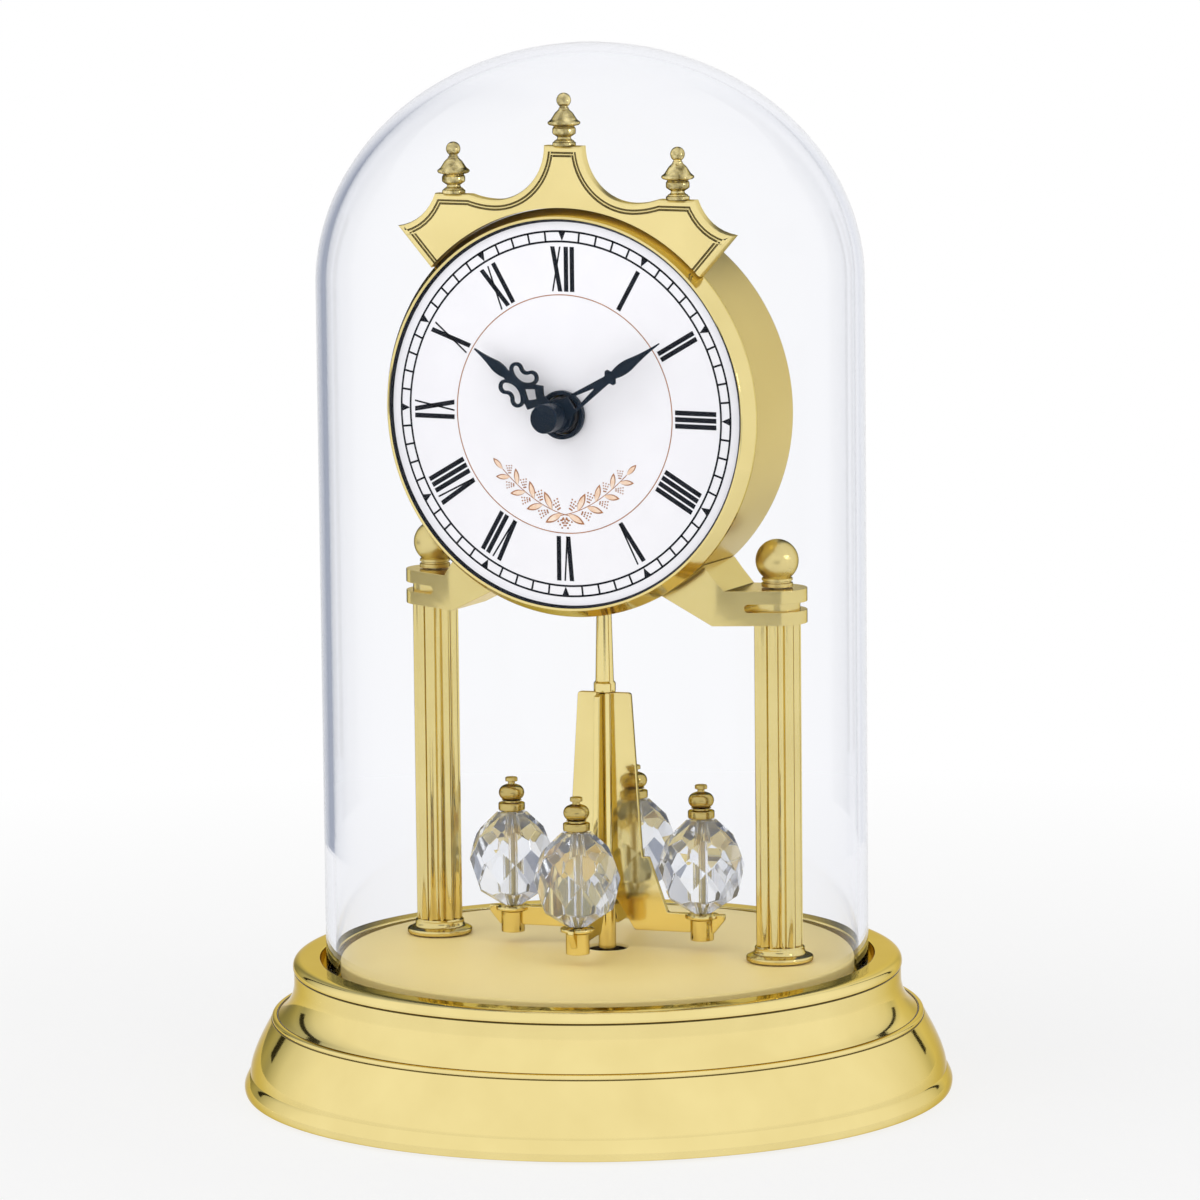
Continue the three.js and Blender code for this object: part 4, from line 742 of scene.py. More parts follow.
# Painted shade: the drum's satin gold is made darker than the plate gold
satin_gold = metal("satin_gold", (0.61, 0.465, 0.13), (0.655, 0.51, 0.155), (0.3, 0.36), grain=4000.0,
                   grain_depth=0.008)
matt_gold = metal("matt_gold", (0.96, 0.77, 0.31), (0.98, 0.80, 0.34), (0.5, 0.56), grain=4000.0,
                  grain_depth=0.008, metallic=0.15)
# Painted shade: a dark gold laid into creases, grooves and the guide hole
shadow_gold = metal("shadow_gold", (0.11, 0.08, 0.02), (0.16, 0.12, 0.04), (0.4, 0.5))
turned_brass = metal("turned_brass", (0.46, 0.35, 0.11), (0.62, 0.49, 0.18), (0.12, 0.2), rim=GOLD_DARK_EDGE)
bright_steel = metal("bright_steel", (0.5, 0.51, 0.52), (0.6, 0.61, 0.62), (0.25, 0.4), grain_depth=0.15)
dial_white = coated("dial_white", (0.85, 0.84, 0.86), (0.87, 0.86, 0.88), (0.4, 0.5), grain_depth=0.05)
dial_ink = coated("dial_ink", (0.004, 0.005, 0.010), (0.006, 0.008, 0.013), (0.4, 0.5), sheen=0.1)
spray_line = coated("spray_line", (0.32, 0.12, 0.045), (0.40, 0.17, 0.07), (0.45, 0.55))
spray_fill = coated("spray_fill", (0.80, 0.54, 0.36), (0.90, 0.74, 0.60), (0.45, 0.55), cloud=700.0)
hand_lacquer = coated("hand_lacquer", (0.003, 0.009, 0.018), (0.005, 0.013, 0.026), (0.2, 0.3), sheen=0.12)
moulded_black = coated("moulded_black", (0.010, 0.010, 0.011), (0.016, 0.016, 0.017), (0.4, 0.55),
                       grain_depth=0.35)
battery_wrap = coated("battery_wrap", (0.03, 0.08, 0.05), (0.045, 0.11, 0.07), (0.25, 0.35), coat=0.3)
felt_green = coated("felt_green", (0.014, 0.028, 0.018), (0.030, 0.048, 0.034), (0.9, 1.0), cloud=900.0,
                    grain=3500.0, grain_depth=1.0)
dome_glass = clear("dome_glass", (1, 1, 1), 0.004, 1.14, 1.0, (0.05, 0.15, 0.55), 12.0)
cut_crystal = clear("cut_crystal", (0.94, 0.955, 0.985), 0.0, 1.56, 0.93, (0.8, 0.82, 0.86), 6.0)


# Base

def spun_base():
    """The stepped base, with a crease under its rim and a bead on its ledge."""
    foot, top = shell_low.z, shell_high.z
    lip = shell_high.x
    bell = lip - LIP_OVERHANG
    ledge = bell - BELL_FLARE
    rim = ledge - COVE_DEPTH
    groove = rim - RIM_WIDTH
    bell_z = foot + LIP_HEIGHT
    ledge_z = bell_z + BELL_HEIGHT
    cove_z = ledge_z + LEDGE_ROUND
    rim_z = top - RIM_HEIGHT
    crease_z = top - RIM_CREASE
    floor_z = top - GROOVE_DEPTH
    lip_edge = foot + LIP_EDGE
    inner = groove - SHELL_LEDGE
    bead = (ledge - CREASE, ledge_z + CREASE)
    rim_foot = (rim - CREASE, crease_z + CREASE / 2)
    rim_side = (rim, crease_z + 3 * CREASE)
    profile = [
        (lip - LIP_ROUND, foot),
        *curve((lip - LIP_ROUND, foot), (lip, foot), (lip, lip_edge)),
        *curve((lip, lip_edge), (lip, lip_edge + LIP_ROUND), (bell + CREASE, bell_z - CREASE)),
        (bell, bell_z),
        *curve((bell, bell_z), (bell, bell_z + BELL_SHOULDER), (ledge, ledge_z)),
        *curve((ledge, ledge_z), (ledge - 2 * CREASE, ledge_z + CREASE / 2), bead, 4),
        *curve(bead, (ledge, cove_z), (ledge - LEDGE_ROUND, cove_z)),
        (ledge - LEDGE_ROUND - CREASE, cove_z - CREASE),
        (ledge - LEDGE_ROUND - 2 * CREASE, cove_z),
        *curve((ledge - LEDGE_ROUND - 2 * CREASE, cove_z), (rim, cove_z + COVE_RISE), (rim - CREASE, rim_z)),
        (rim - CREASE, crease_z - CREASE),
        (rim - 2 * CREASE, crease_z),
        rim_foot,
        *curve(rim_foot, (rim, crease_z + CREASE), rim_side, 4),
        *curve(rim_side, (rim, top), (rim - RIM_ROUND, top)),
        *soften((rim - RIM_ROUND, top), (groove, top, CREASE * 2), (groove, floor_z))[1:],
        (inner, floor_z),
        (inner, floor_z - SHELL_WALL),
        (rim - SHELL_WALL, floor_z - SHELL_WALL),
        (rim - SHELL_WALL, cove_z + COVE_RISE),
        (ledge - SHELL_WALL, ledge_z - SHELL_WALL),
        (bell - SHELL_WALL, bell_z),
        (bell - SHELL_WALL, foot),
    ]
    finish("spun_base", turned(profile, WIDE_SIDES), spun_gold, "plated_gold", "base_shell", sharp=28)
    # Painted shade: thin dark rings laid into the creases under the rim and on the ledge
    ledge_top = ledge - LEDGE_ROUND - CREASE / 2
    lines = [
        crease_shadow(rim - CREASE, crease_z - CREASE / 2),
        crease_shadow(ledge - CREASE / 2, ledge_z + CREASE / 2),
        crease_shadow(ledge_top, cove_z - CREASE / 2),
    ]
    finish("base_crease_shadows", joined(*lines), shadow_gold, "plated_gold")


def crease_shadow(radius, height):
    """A thin dark ring of painted shade that lies in a crease."""
    section = ring_section(radius - CREASE, radius, height - CREASE / 2, height + CREASE / 2)
    return turned(section, WIDE_SIDES)


def platform():
    hole = circle(GUIDE_HOLE, SMALL_SIDES, (0, AXIS_Y))
    disc = plate(circle(platform_high.x, WIDE_SIDES), hole, low=platform_low.z, high=platform_high.z,
                 edge=PLATFORM_EDGE)
    finish("platform", disc, matt_gold, "plated_gold", "base_plate")


def underside():
    """The cover disc, the felt pad and the guide bush under the platform."""
    discs = (("underside_cover", moulded_black, "movement_black", "base_cover", COVER_EDGE),
             ("felt_pad", felt_green, "felt", "base_pad", PAD_EDGE))
    for name, material, slot, node, edge in discs:
        low, high = span(node)
        disc = plate(circle(high.x, WIDE_SIDES), low=low.z, high=high.z, edge=edge)
        finish(name, disc, material, slot, node)
    low, high = span("plate_bush")
    bush = plate(circle(high.x, SMALL_SIDES), circle(BUSH_HOLE, SMALL_SIDES), low=low.z, high=high.z,
                 edge=BUSH_EDGE)
    sleeve = ring_section(GUIDE_HOLE - SLEEVE_WALL, GUIDE_HOLE, high.z, platform_high.z - PLATFORM_EDGE)
    bush = joined(bush, turned(sleeve, SMALL_SIDES))
    # Painted shade: the bush is dark gold so the guide hole round the rod reads dark
    finish("guide_bush", bush, shadow_gold, "turned_brass", "plate_bush", place=at(0, AXIS_Y))


# Columns

def fluted(name, radius, flutes, depth, low, high, material):
    """A round bar whose flutes are worked out round a circle and drawn along a line."""
    tree, size, values = growth(name, Radius=radius, Depth=depth, Land=FLUTE_LAND, Flutes=flutes,
                                Steps=FLUTE_STEPS, Low=low, High=high)
    points = calculate(tree, "MULTIPLY", size["Flutes"], size["Steps"])
    inputs = {"Resolution": points, "Radius": size["Radius"]}
    ring = output_of(tree, "GeometryNodeCurvePrimitiveCircle", inputs)
    index = output_of(tree, "GeometryNodeInputIndex")
    across = calculate(tree, "FRACT", calculate(tree, "DIVIDE", index, size["Steps"]))
    past_land = output_of(tree, "ShaderNodeMapRange", {"Value": across, "From Min": size["Land"]})
    hollow = calculate(tree, "SINE", calculate(tree, "MULTIPLY", past_land, math.pi))
    sunk = calculate(tree, "MULTIPLY", hollow, size["Depth"])
    share = calculate(tree, "DIVIDE", calculate(tree, "SUBTRACT", size["Radius"], sunk), size["Radius"])
    position = output_of(tree, "GeometryNodeInputPosition")
    drawn_in = output_of(tree, "ShaderNodeVectorMath", {0: position, "Scale": share}, operation="SCALE")
    section = output_of(tree, "GeometryNodeSetPosition", {"Geometry": ring, "Position": drawn_in})
    ends = [vector(tree, 0.0, 0.0, size[end]) for end in ("Low", "High")]
    line = output_of(tree, "GeometryNodeCurvePrimitiveLine", {"Start": ends[0], "End": ends[1]})
    inputs = {"Curve": line, "Profile Curve": section, "Fill Caps": True}
    return grown(tree, values, output_of(tree, "GeometryNodeCurveToMesh", inputs), material)


def column_foot(low, high, radius):
    edge = low + FOOT_EDGE
    shoulder = (FOOT_NECK + FOOT_FLARE, edge + FOOT_RISE)
    profile = [
        *soften((0, low), (radius, low, 0.35), (radius, edge, 0.45), (*shoulder, 0.5)),
        *curve(shoulder, (FOOT_NECK, edge + FOOT_BEND), (FOOT_NECK, high - SEAT)),
        (FOOT_NECK - SEAT, high),
        (0, high),
    ]
    return turned(profile, SMALL_SIDES)


def ball_nut(low, high):
    """A ball on a stepped collar."""
    centre = high - BALL_RADIUS
    start = -math.degrees(math.acos(BALL_NECK / BALL_RADIUS))
    ball = arc((0, centre), BALL_RADIUS, start, 90, 24)
    profile = [(0, low), *((r, low + z) for r, z in COLLAR_STEPS), *ball[:-1], (0, high)]
    return turned(profile, ROUND_SIDES)


def bracket_arm():
    """The right bracket: what its plan and its front view have in common, with a slot round its end."""
    low = span("bracket_right")[0].z
    top = low + BAR_HEIGHT
    knee_in = BAR_SHOULDER + BAR_KNEE
    knee = COLUMN_X - knee_in
    front, back = AXIS_Y - BRACKET_FRONT, AXIS_Y + BRACKET_BACK
    to_knee = math.degrees(math.atan2(-BRACKET_FRONT, -knee_in))
    tangent = to_knee + math.degrees(math.acos(BAR_END / math.hypot(knee_in, BRACKET_FRONT)))
    round_end = arc((COLUMN_X, AXIS_Y), BAR_END, tangent, 90, 24)
    plan = plate([(0, front), (knee, front), *round_end, (knee, back), (0, back)], low=low, high=HEAD_Z)
    far = COLUMN_X + 2 * BAR_END
    start = ROOT_ANGLE - 90
    root = arc((0, HEAD_Z), DRUM_RADIUS + GAP, start + ROOT_SPAN, start, 12)
    side = [*root, (knee, low), (far, low), (far, top), (COLUMN_X - BAR_SHOULDER, top)]
    wide = 4 * BRACKET_FRONT
    view = placed(plate(side, low=-wide, high=wide), UPRIGHT)
    arm = carved(plan, view, "INTERSECT")
    half = SLOT_HEIGHT / 2
    middle = (low + top) / 2
    core = BAR_END - SLOT_DEPTH
    start_x = COLUMN_X - SLOT_REACH
    ring = [(far, -half), (far, half), *arc((start_x, 0), half, 90, 270, 12)]
    band = placed(plate(ring, low=-wide, high=wide), at(0, 0, middle) @ UPRIGHT)
    kept = [(0, AXIS_Y - core), *arc((COLUMN_X, AXIS_Y), core, -90, 90, 24), (0, AXIS_Y + core)]
    slot = carved(band, plate(kept, low=low - 1, high=top + 1))
    return eased(carved(arm, slot), BRACKET_EDGE, 25)


def columns():
    arm = bracket_arm()
    for side, sign in (("left", -1), ("right", 1)):
        here = at(sign * COLUMN_X, AXIS_Y)
        low, high = span(f"column_foot_{side}")
        foot = column_foot(low.z, high.z, (high.x - low.x) / 2)
        finish(f"foot_{side}", foot, column_gold, "plated_gold", f"column_foot_{side}", place=here)
        low, high = span(f"column_{side}")
        tube = fluted("fluted_column", (high.x - low.x) / 2, FLUTES, FLUTE_DEPTH, low.z - SEAT, high.z + SEAT,
                      column_gold)
        finish(f"fluted_column_{side}", tube, column_gold, "plated_gold", f"column_{side}", place=here,
               sharp=50)
        low, high = span(f"column_ball_{side}")
        finish(f"ball_nut_{side}", ball_nut(low.z, high.z), ball_gold, "plated_gold", f"column_ball_{side}",
               place=here)
        mirror = Matrix.Diagonal((sign, 1, 1, 1))
        finish(f"bracket_arm_{side}", arm.copy(), arm_gold, "plated_gold", f"bracket_{side}", place=mirror)


# Head

def drum():
    front, rear = -drum_low.y, -drum_high.y
    wall_back = front - DRUM_FRONT_WALL
    inner = DRUM_RADIUS - DRUM_WALL
    ledge = SEAT - span("back_cover")[0].y
    profile = [
        (NECK_HOLE, front),
        (NECK_HOLE, wall_back),
        (inner, wall_back),
        (inner, ledge + BACK_LEDGE_THICKNESS),
        (inner - BACK_LEDGE, ledge + BACK_LEDGE_THICKNESS),
        (inner - BACK_LEDGE, ledge),
        *soften((inner, ledge), (inner, rear, 0.3), (DRUM_RADIUS, rear, DRUM_EDGE), (DRUM_RADIUS, front, 0.2),
                (NECK_HOLE, front))[:-1],
    ]
    case = turned(profile, WIDE_SIDES)
    hole = placed(rod(STEM_HOLE, -5, 5), at(0, -DRUM_RADIUS, -AXIS_Y) @ turn(-90, "X"))
    finish("drum", carved(case, hole), satin_gold, "plated_gold", "drum_case", place=HEAD)


def bezel_ring():
    """A bevelled ring with a sleeve over the drum's edge, and inside it a black ring of painted shade in the
    gap at the dial.
    """
    high = span("bezel")[1]
    radius = high.x
    back = -high.y
    lip = radius - BEZEL_LIP
    dial_front = -span("dial")[0].y
    bevel, shade_ring_front = dial_front - BEZEL_BEVEL, dial_front + SHADE_RING_RISE
    profile = [
        *soften((radius - BEZEL_SLEEVE, back), (radius, back, 0.2), (radius, bevel, 0.3),
                (lip + BEZEL_CROWN_INSET, dial_front + BEZEL_CROWN, 0.3), (lip, shade_ring_front)),
        (lip, dial_front + HAIR),
        (lip + BEZEL_SEAT, dial_front + HAIR),
        (radius - BEZEL_SLEEVE, bevel - GAP),
    ]
    finish("bezel_ring", turned(profile, WIDE_SIDES), polished_gold, "plated_gold", "bezel", place=HEAD)
    # Painted shade: a black ring stands for the shadow and dark reflection in the gap between the bezel's lip
    # and the dial
    inner, outer = lip - SHADE_RING, lip - SHADE_RING_GAP
    section = [(inner, dial_front), (outer, dial_front), (outer, shade_ring_front),
               (outer - SHADE_RING_TIP, shade_ring_front)]
    finish("dial_shade_ring", turned(section, WIDE_SIDES), dial_ink, "movement_black", place=HEAD)


def dial_disc():
    low, high = span("dial")
    disc = plate(circle(high.x - DIAL_INSET, WIDE_SIDES), circle(NECK_HOLE, SMALL_SIDES),
                 low=-high.y, high=-low.y, edge=DIAL_EDGE)
    finish("dial_disc", disc, dial_white, "dial_white", "dial", place=HEAD)
    return -low.y


def rounded(half_wide, low, high, radius):
    """An upright rectangle with round corners."""
    right, top = half_wide - radius, high - radius
    corners = ((right, top, 0), (-right, top, 90), (-right, low + radius, 180), (right, low + radius, 270))
    return [point for x, y, start in corners for point in arc((x, y), radius, start, start + 90, 6)]


def back_disc():
    """The rear cover with its window and a ring of screws."""
    low, high = span("back_cover")
    case_low, case_high = span("movement_housing")
    bottom, top = case_low.z - HEAD_Z - WINDOW_GAP, case_high.z - HEAD_Z + WINDOW_GAP
    window = rounded(case_high.x + WINDOW_GAP, bottom, top, WINDOW_ROUND)
    disc = plate(circle(high.x, WIDE_SIDES), window, low=-high.y, high=-low.y, edge=COVER_EDGE)
    finish("back_disc", disc, moulded_black, "movement_black", "back_cover", place=HEAD)
    finish("back_screws", screws(high.x - SCREW_INSET), bright_steel, "steel", place=HEAD @ at(0, 0, -high.y))


def screws(ring):
    """Slotted screw heads round a ring, facing back."""
    tree, size, values = growth("screws", Ring=ring, Screws=SCREWS, Head=SCREW_HEAD, Rise=SCREW_RISE,
                                Slot=SCREW_SLOT)
    points = output_of(tree, "GeometryNodeMeshCircle", {"Vertices": size["Screws"], "Radius": size["Ring"]})
    head = output_of(tree, "GeometryNodeMeshCylinder", {"Radius": size["Head"], "Depth": size["Rise"]})
    across = calculate(tree, "MULTIPLY", size["Head"], 4.0)
    bar = output_of(tree, "GeometryNodeMeshCube", {"Size": vector(tree, across, size["Slot"], size["Rise"])})
    back = vector(tree, 0.0, 0.0, calculate(tree, "MULTIPLY", size["Rise"], -0.5))
    sunk = output_of(tree, "GeometryNodeTransform", {"Geometry": bar, "Translation": back})
    slotted = output_of(tree, "GeometryNodeMeshBoolean", {"Mesh 1": head, "Mesh 2": sunk},
                        operation="DIFFERENCE")
    heads = output_of(tree, "GeometryNodeInstanceOnPoints", {"Points": points, "Instance": slotted})
    return grown(tree, values, heads, bright_steel)


def movement():
    """The movement, in its CAD shape with eased edges."""
    shape = bmesh.new()
    shape.from_mesh(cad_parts["movement_housing"].data)
    shape.transform(Matrix.Scale(1 / MM, 4))
    case = eased(mesh_of(shape), CASE_EDGE)
    finish("movement_case", case, moulded_black, "movement_black", "movement_housing")


def cell():
    """The cell that lies in its bay, wrapped between its bare ends."""
    low, high = span("battery")
    radius, half = (high.z - low.z) / 2, (high.x - low.x) / 2
    shoulder, inner = half - CELL_NUB, radius - CELL_WRAP
    lying = at(0, (low.y + high.y) / 2, (low.z + high.z) / 2) @ turn(90, "Y")
    wrap = ring_section(inner, radius, CELL_WRAP - half, shoulder - CELL_WRAP)
    finish("cell_wrap", turned(wrap, SMALL_SIDES), battery_wrap, "battery_wrap", "battery", place=lying)
    core = soften((0, -half), (inner, -half, CELL_WRAP), (inner, shoulder, CELL_WRAP),
                  (CELL_NUB_RADIUS, shoulder), (CELL_NUB_RADIUS, half, CELL_WRAP), (0, half))
    finish("cell_ends", turned(core, SMALL_SIDES), bright_steel, "steel", place=lying)


def knurled_knob():
    """The knob at the back that sets the hands."""
    low, high = span("set_knob")
    radius = (high.x - low.x) / 2
    back = -high.y
    face = back + KNOB_FACE
    grip = fluted("knob_grip", radius, KNURLS, KNURL_DEPTH, face, -low.y, moulded_black)
    end = turned([(0, back), (radius - 2 * KNOB_FACE, back), (radius - KNURL_DEPTH, face), (0, face)],
                 SMALL_SIDES)
    finish("knurled_knob", joined(grip, end), moulded_black, "movement_black", "set_knob",
           body="minute_hand", place=HEAD)


def prisms(polygons, low):
    """Thin printed shapes, each a closed prism."""
    return joined(*(plate(polygon, low=low, high=low + PRINT) for polygon in polygons))


def slanted(top, bottom, width):
    """A stroke between two heights, with level ends."""
    half = width / 2
    return [(bottom - half, NUMERAL_LOW), (bottom + half, NUMERAL_LOW),
            (top + half, NUMERAL_HIGH), (top - half, NUMERAL_HIGH)]


def letter(kind, middle):
    """The strokes of one Roman letter about its middle line."""
    if kind == "I":
        strokes = [(middle, middle, THICK_STROKE)]
    elif kind == "V":
        half = (V_WIDTH - THICK_STROKE) / 2
        strokes = [(middle - half, middle, THICK_STROKE), (middle + half, middle + V_FOOT, THIN_STROKE)]
    else:
        half = (X_WIDTH - THICK_STROKE) / 2
        strokes = [(middle - half, middle + half, THICK_STROKE), (middle + half, middle - half, THIN_STROKE)]
    return [slanted(*stroke) for stroke in strokes]


def numerals(front):
    """Roman hours with their feet towards the centre."""
    widths = {"I": I_WIDTH, "V": V_WIDTH, "X": X_WIDTH}
    hours = ("I", "II", "III", "IIII", "V", "VI", "VII", "VIII", "IX", "X", "XI", "XII")
    meshes = []
    for hour, word in enumerate(hours, 1):
        length = sum(widths[kind] for kind in word) + LETTER_GAP * (len(word) - 1)
        place = -length / 2
        for kind in word:
            shapes = prisms(letter(kind, place + widths[kind] / 2), front)
            meshes.append(placed(shapes, turn(-30 * hour)))
            place += widths[kind] + LETTER_GAP
    finish("dial_numerals", joined(*meshes), dial_ink, "dial_white", place=HEAD)


def minute_track(front):
    """Two rings with a line for each minute and a solid marker for each hour."""
    tree, size, values = growth("minute_track", Outer=TRACK_OUTER, Inner=TRACK_INNER, Line=TRACK_LINE,
                                Minutes=60, Print=PRINT, Width=MARKER_WIDTH, Depth=MARKER_DEPTH)
    section = output_of(tree, "GeometryNodeCurvePrimitiveQuadrilateral",
                        {"Width": size["Line"], "Height": size["Print"]})
    rings = []
    for edge in ("Outer", "Inner"):
        inputs = {"Resolution": WIDE_SIDES, "Radius": size[edge]}
        ring = output_of(tree, "GeometryNodeCurvePrimitiveCircle", inputs)
        rings.append(output_of(tree, "GeometryNodeCurveToMesh", {"Curve": ring, "Profile Curve": section}))
    across = calculate(tree, "SUBTRACT", size["Outer"], size["Inner"])
    middle = calculate(tree, "SUBTRACT", size["Outer"], calculate(tree, "DIVIDE", across, 2.0))
    points = output_of(tree, "GeometryNodeMeshCircle", {"Vertices": size["Minutes"], "Radius": middle})
    place = output_of(tree, "GeometryNodeInputPosition")
    pointing = output_of(tree, "FunctionNodeAlignRotationToVector", {"Vector": place}, axis="X",
                         pivot_axis="Z")
    past_hour = calculate(tree, "MODULO", output_of(tree, "GeometryNodeInputIndex"), 5.0)
    is_minute = calculate(tree, "GREATER_THAN", past_hour, 0.5)
    is_hour = calculate(tree, "LESS_THAN", past_hour, 0.5)
    line_size = vector(tree, across, size["Line"], size["Print"])
    line = output_of(tree, "GeometryNodeMeshCube", {"Size": line_size})
    marker = output_of(tree, "GeometryNodeMeshCylinder",
                       {"Vertices": 3, "Radius": 1.0, "Depth": size["Print"]})
    # A three-sided cylinder of unit radius is 1.5 long and the root of 3 wide
    long = calculate(tree, "DIVIDE", size["Depth"], 1.5)
    wide = calculate(tree, "DIVIDE", size["Width"], math.sqrt(3))
    turned_in = output_of(tree, "GeometryNodeTransform", {
        "Geometry": marker, "Translation": (MARKER_SHIFT, 0, 0), "Rotation": (0, 0, math.pi)})
    common = {"Points": points, "Rotation": pointing}
    lines = output_of(tree, "GeometryNodeInstanceOnPoints",
                      {**common, "Selection": is_minute, "Instance": line})
    markers = output_of(tree, "GeometryNodeInstanceOnPoints", {
        **common, "Selection": is_hour, "Instance": turned_in, "Scale": vector(tree, long, wide, 1.0)})
    mesh = grown(tree, values, gathered(tree, *rings, lines, markers), dial_ink)
    finish("minute_track", mesh, dial_ink, "dial_white", place=HEAD @ at(0, 0, front + PRINT / 2))


def ring_line(front):
    outer, inner = (circle(RING_RADIUS + side * RING_LINE / 2, WIDE_SIDES) for side in (1, -1))
    ring = plate(outer, inner, low=front, high=front + PRINT)
    finish("dial_ring", ring, spray_line, "dial_white", place=HEAD)


def place_parts(tree):
    """The x, y and z of each point of a geometry."""
    return add_node(tree, "ShaderNodeSeparateXYZ", {0: output_of(tree, "GeometryNodeInputPosition")}).outputs


def redrawn(tree, geometry, along, across, up):
    """A geometry whose points are moved to new places."""
    inputs = {"Geometry": geometry, "Position": vector(tree, along, across, up)}
    return output_of(tree, "GeometryNodeSetPosition", inputs)


def leaf_shape(tree, long, wide, thick):
    """A pointed leaf that starts at the origin, drawn from a flat disc."""
    inputs = {"Vertices": LEAF_SIDES, "Radius": 1.0, "Depth": thick}
    disc = output_of(tree, "GeometryNodeMeshCylinder", inputs)
    parts = place_parts(tree)
    half_long, half_wide = (calculate(tree, "DIVIDE", whole, 2.0) for whole in (long, wide))
    along = calculate(tree, "MULTIPLY", calculate(tree, "ADD", parts["X"], 1.0), half_long)
    swell = calculate(tree, "MULTIPLY", parts["Y"], calculate(tree, "ABSOLUTE", parts["Y"]))
    return redrawn(tree, disc, along, calculate(tree, "MULTIPLY", swell, half_wide), parts["Z"])


def berry_fan(tree, radius, thick):
    """A fan of small dots that widens away from the origin."""
    grid = output_of(tree, "GeometryNodeMeshGrid", {
        "Size X": FAN_LENGTH, "Size Y": FAN_WIDTH, "Vertices X": FAN_ROWS, "Vertices Y": FAN_DOTS})
    parts = place_parts(tree)
    along = calculate(tree, "ADD", parts["X"], FAN_START)
    across = calculate(tree, "MULTIPLY", parts["Y"], calculate(tree, "MULTIPLY", along, FAN_SPREAD))
    fan = redrawn(tree, grid, along, across, parts["Z"])
    inputs = {"Vertices": DOT_SIDES, "Radius": radius, "Depth": thick}
    dot = output_of(tree, "GeometryNodeMeshCylinder", inputs)
    return output_of(tree, "GeometryNodeInstanceOnPoints", {"Points": fan, "Instance": dot})


def spray_half(name, material, long, wide, with_stem):
    """The right half of the printed spray: leaves to either side of a bent stem, with fans of dots."""
    tree, size, values = growth(name, Cross=SPRAY_CROSS, Foot=SPRAY_FOOT, Bend=SPRAY_BEND, Sag=SPRAY_SAG,
                                Reach=SPRAY_REACH, Tip=SPRAY_TIP, Leaves=SPRAY_LEAVES, Long=long, Wide=wide,
                                Line=SPRAY_STEM, Print=PRINT)
    ends = [vector(tree, size[x], size[y], 0.0)
            for x, y in (("Cross", "Foot"), ("Bend", "Sag"), ("Reach", "Tip"))]
    stem = output_of(tree, "GeometryNodeCurveQuadraticBezier", {
        "Resolution": STEM_STEPS, "Start": ends[0], "Middle": ends[1], "End": ends[2]})
    joints = add_node(tree, "GeometryNodeCurveToPoints", {"Curve": stem, "Count": size["Leaves"]},
                      mode="COUNT").outputs
    index = output_of(tree, "GeometryNodeInputIndex")
    last = calculate(tree, "SUBTRACT", size["Leaves"], 1.0)
    turns = calculate(tree, "MULTIPLY", calculate(tree, "MODULO", index, 2.0), 2.0)
    side = calculate(tree, "SUBTRACT", 1.0, turns)
    inside = calculate(tree, "LESS_THAN", index, calculate(tree, "SUBTRACT", last, 0.5))
    lean = calculate(tree, "MULTIPLY", calculate(tree, "MULTIPLY", side, inside), SPRAY_LEAN)
    ahead = output_of(tree, "FunctionNodeAlignRotationToVector", {"Vector": joints["Tangent"]}, axis="X",
                      pivot_axis="Z")

    def leaning(angle):
        about = output_of(tree, "FunctionNodeAxisAngleToRotation", {"Axis": (0, 0, 1), "Angle": angle})
        return output_of(tree, "FunctionNodeRotateRotation", {"Rotation": ahead, "Rotate By": about},
                         rotation_space="LOCAL")

    drawn_in = calculate(tree, "MULTIPLY", calculate(tree, "DIVIDE", index, last), SPRAY_TAPER)
    common = {"Points": joints["Points"], "Scale": calculate(tree, "SUBTRACT", 1.0, drawn_in)}
    leaf = leaf_shape(tree, size["Long"], size["Wide"], size["Print"])
    past_foot = calculate(tree, "GREATER_THAN", index, 0.5)
    parts = [output_of(tree, "GeometryNodeInstanceOnPoints", {
        **common, "Instance": leaf, "Selection": past_foot, "Rotation": leaning(lean)})]
    if with_stem:
        section = output_of(tree, "GeometryNodeCurvePrimitiveQuadrilateral",
                            {"Width": size["Line"], "Height": size["Print"]})
        parts.append(output_of(tree, "GeometryNodeCurveToMesh", {
            "Curve": stem, "Profile Curve": section, "Fill Caps": True}))
        away = calculate(tree, "MULTIPLY", side, -SPRAY_LEAN)
        fan = berry_fan(tree, SPRAY_DOT, size["Print"])
        parts.append(output_of(tree, "GeometryNodeInstanceOnPoints", {
            **common, "Instance": fan, "Selection": inside, "Rotation": leaning(away)}))
    return grown(tree, values, gathered(tree, *parts), material)


def spray(front):
    """The printed spray: brown outlines, stems and dots, with peach leaves on top."""
    fill_long, fill_wide = SPRAY_LEAF * FILL_LENGTH, SPRAY_WIDTH * FILL_WIDTH
    layers = (("spray_lines", spray_line, SPRAY_LEAF, SPRAY_WIDTH, True, 0.5),
              ("spray_leaves", spray_fill, fill_long, fill_wide, False, 1.2))
    for name, material, long, wide, with_stem, level in layers:
        right = spray_half(name, material, long, wide, with_stem)
        left = placed(right.copy(), Matrix.Diagonal((-1, 1, 1, 1)) @ at(0, 0, PRINT / 4))
        place = HEAD @ at(0, 0, front + PRINT * level)
        finish(name, joined(right, left), material, "dial_white", place=place)


# Crest and finials

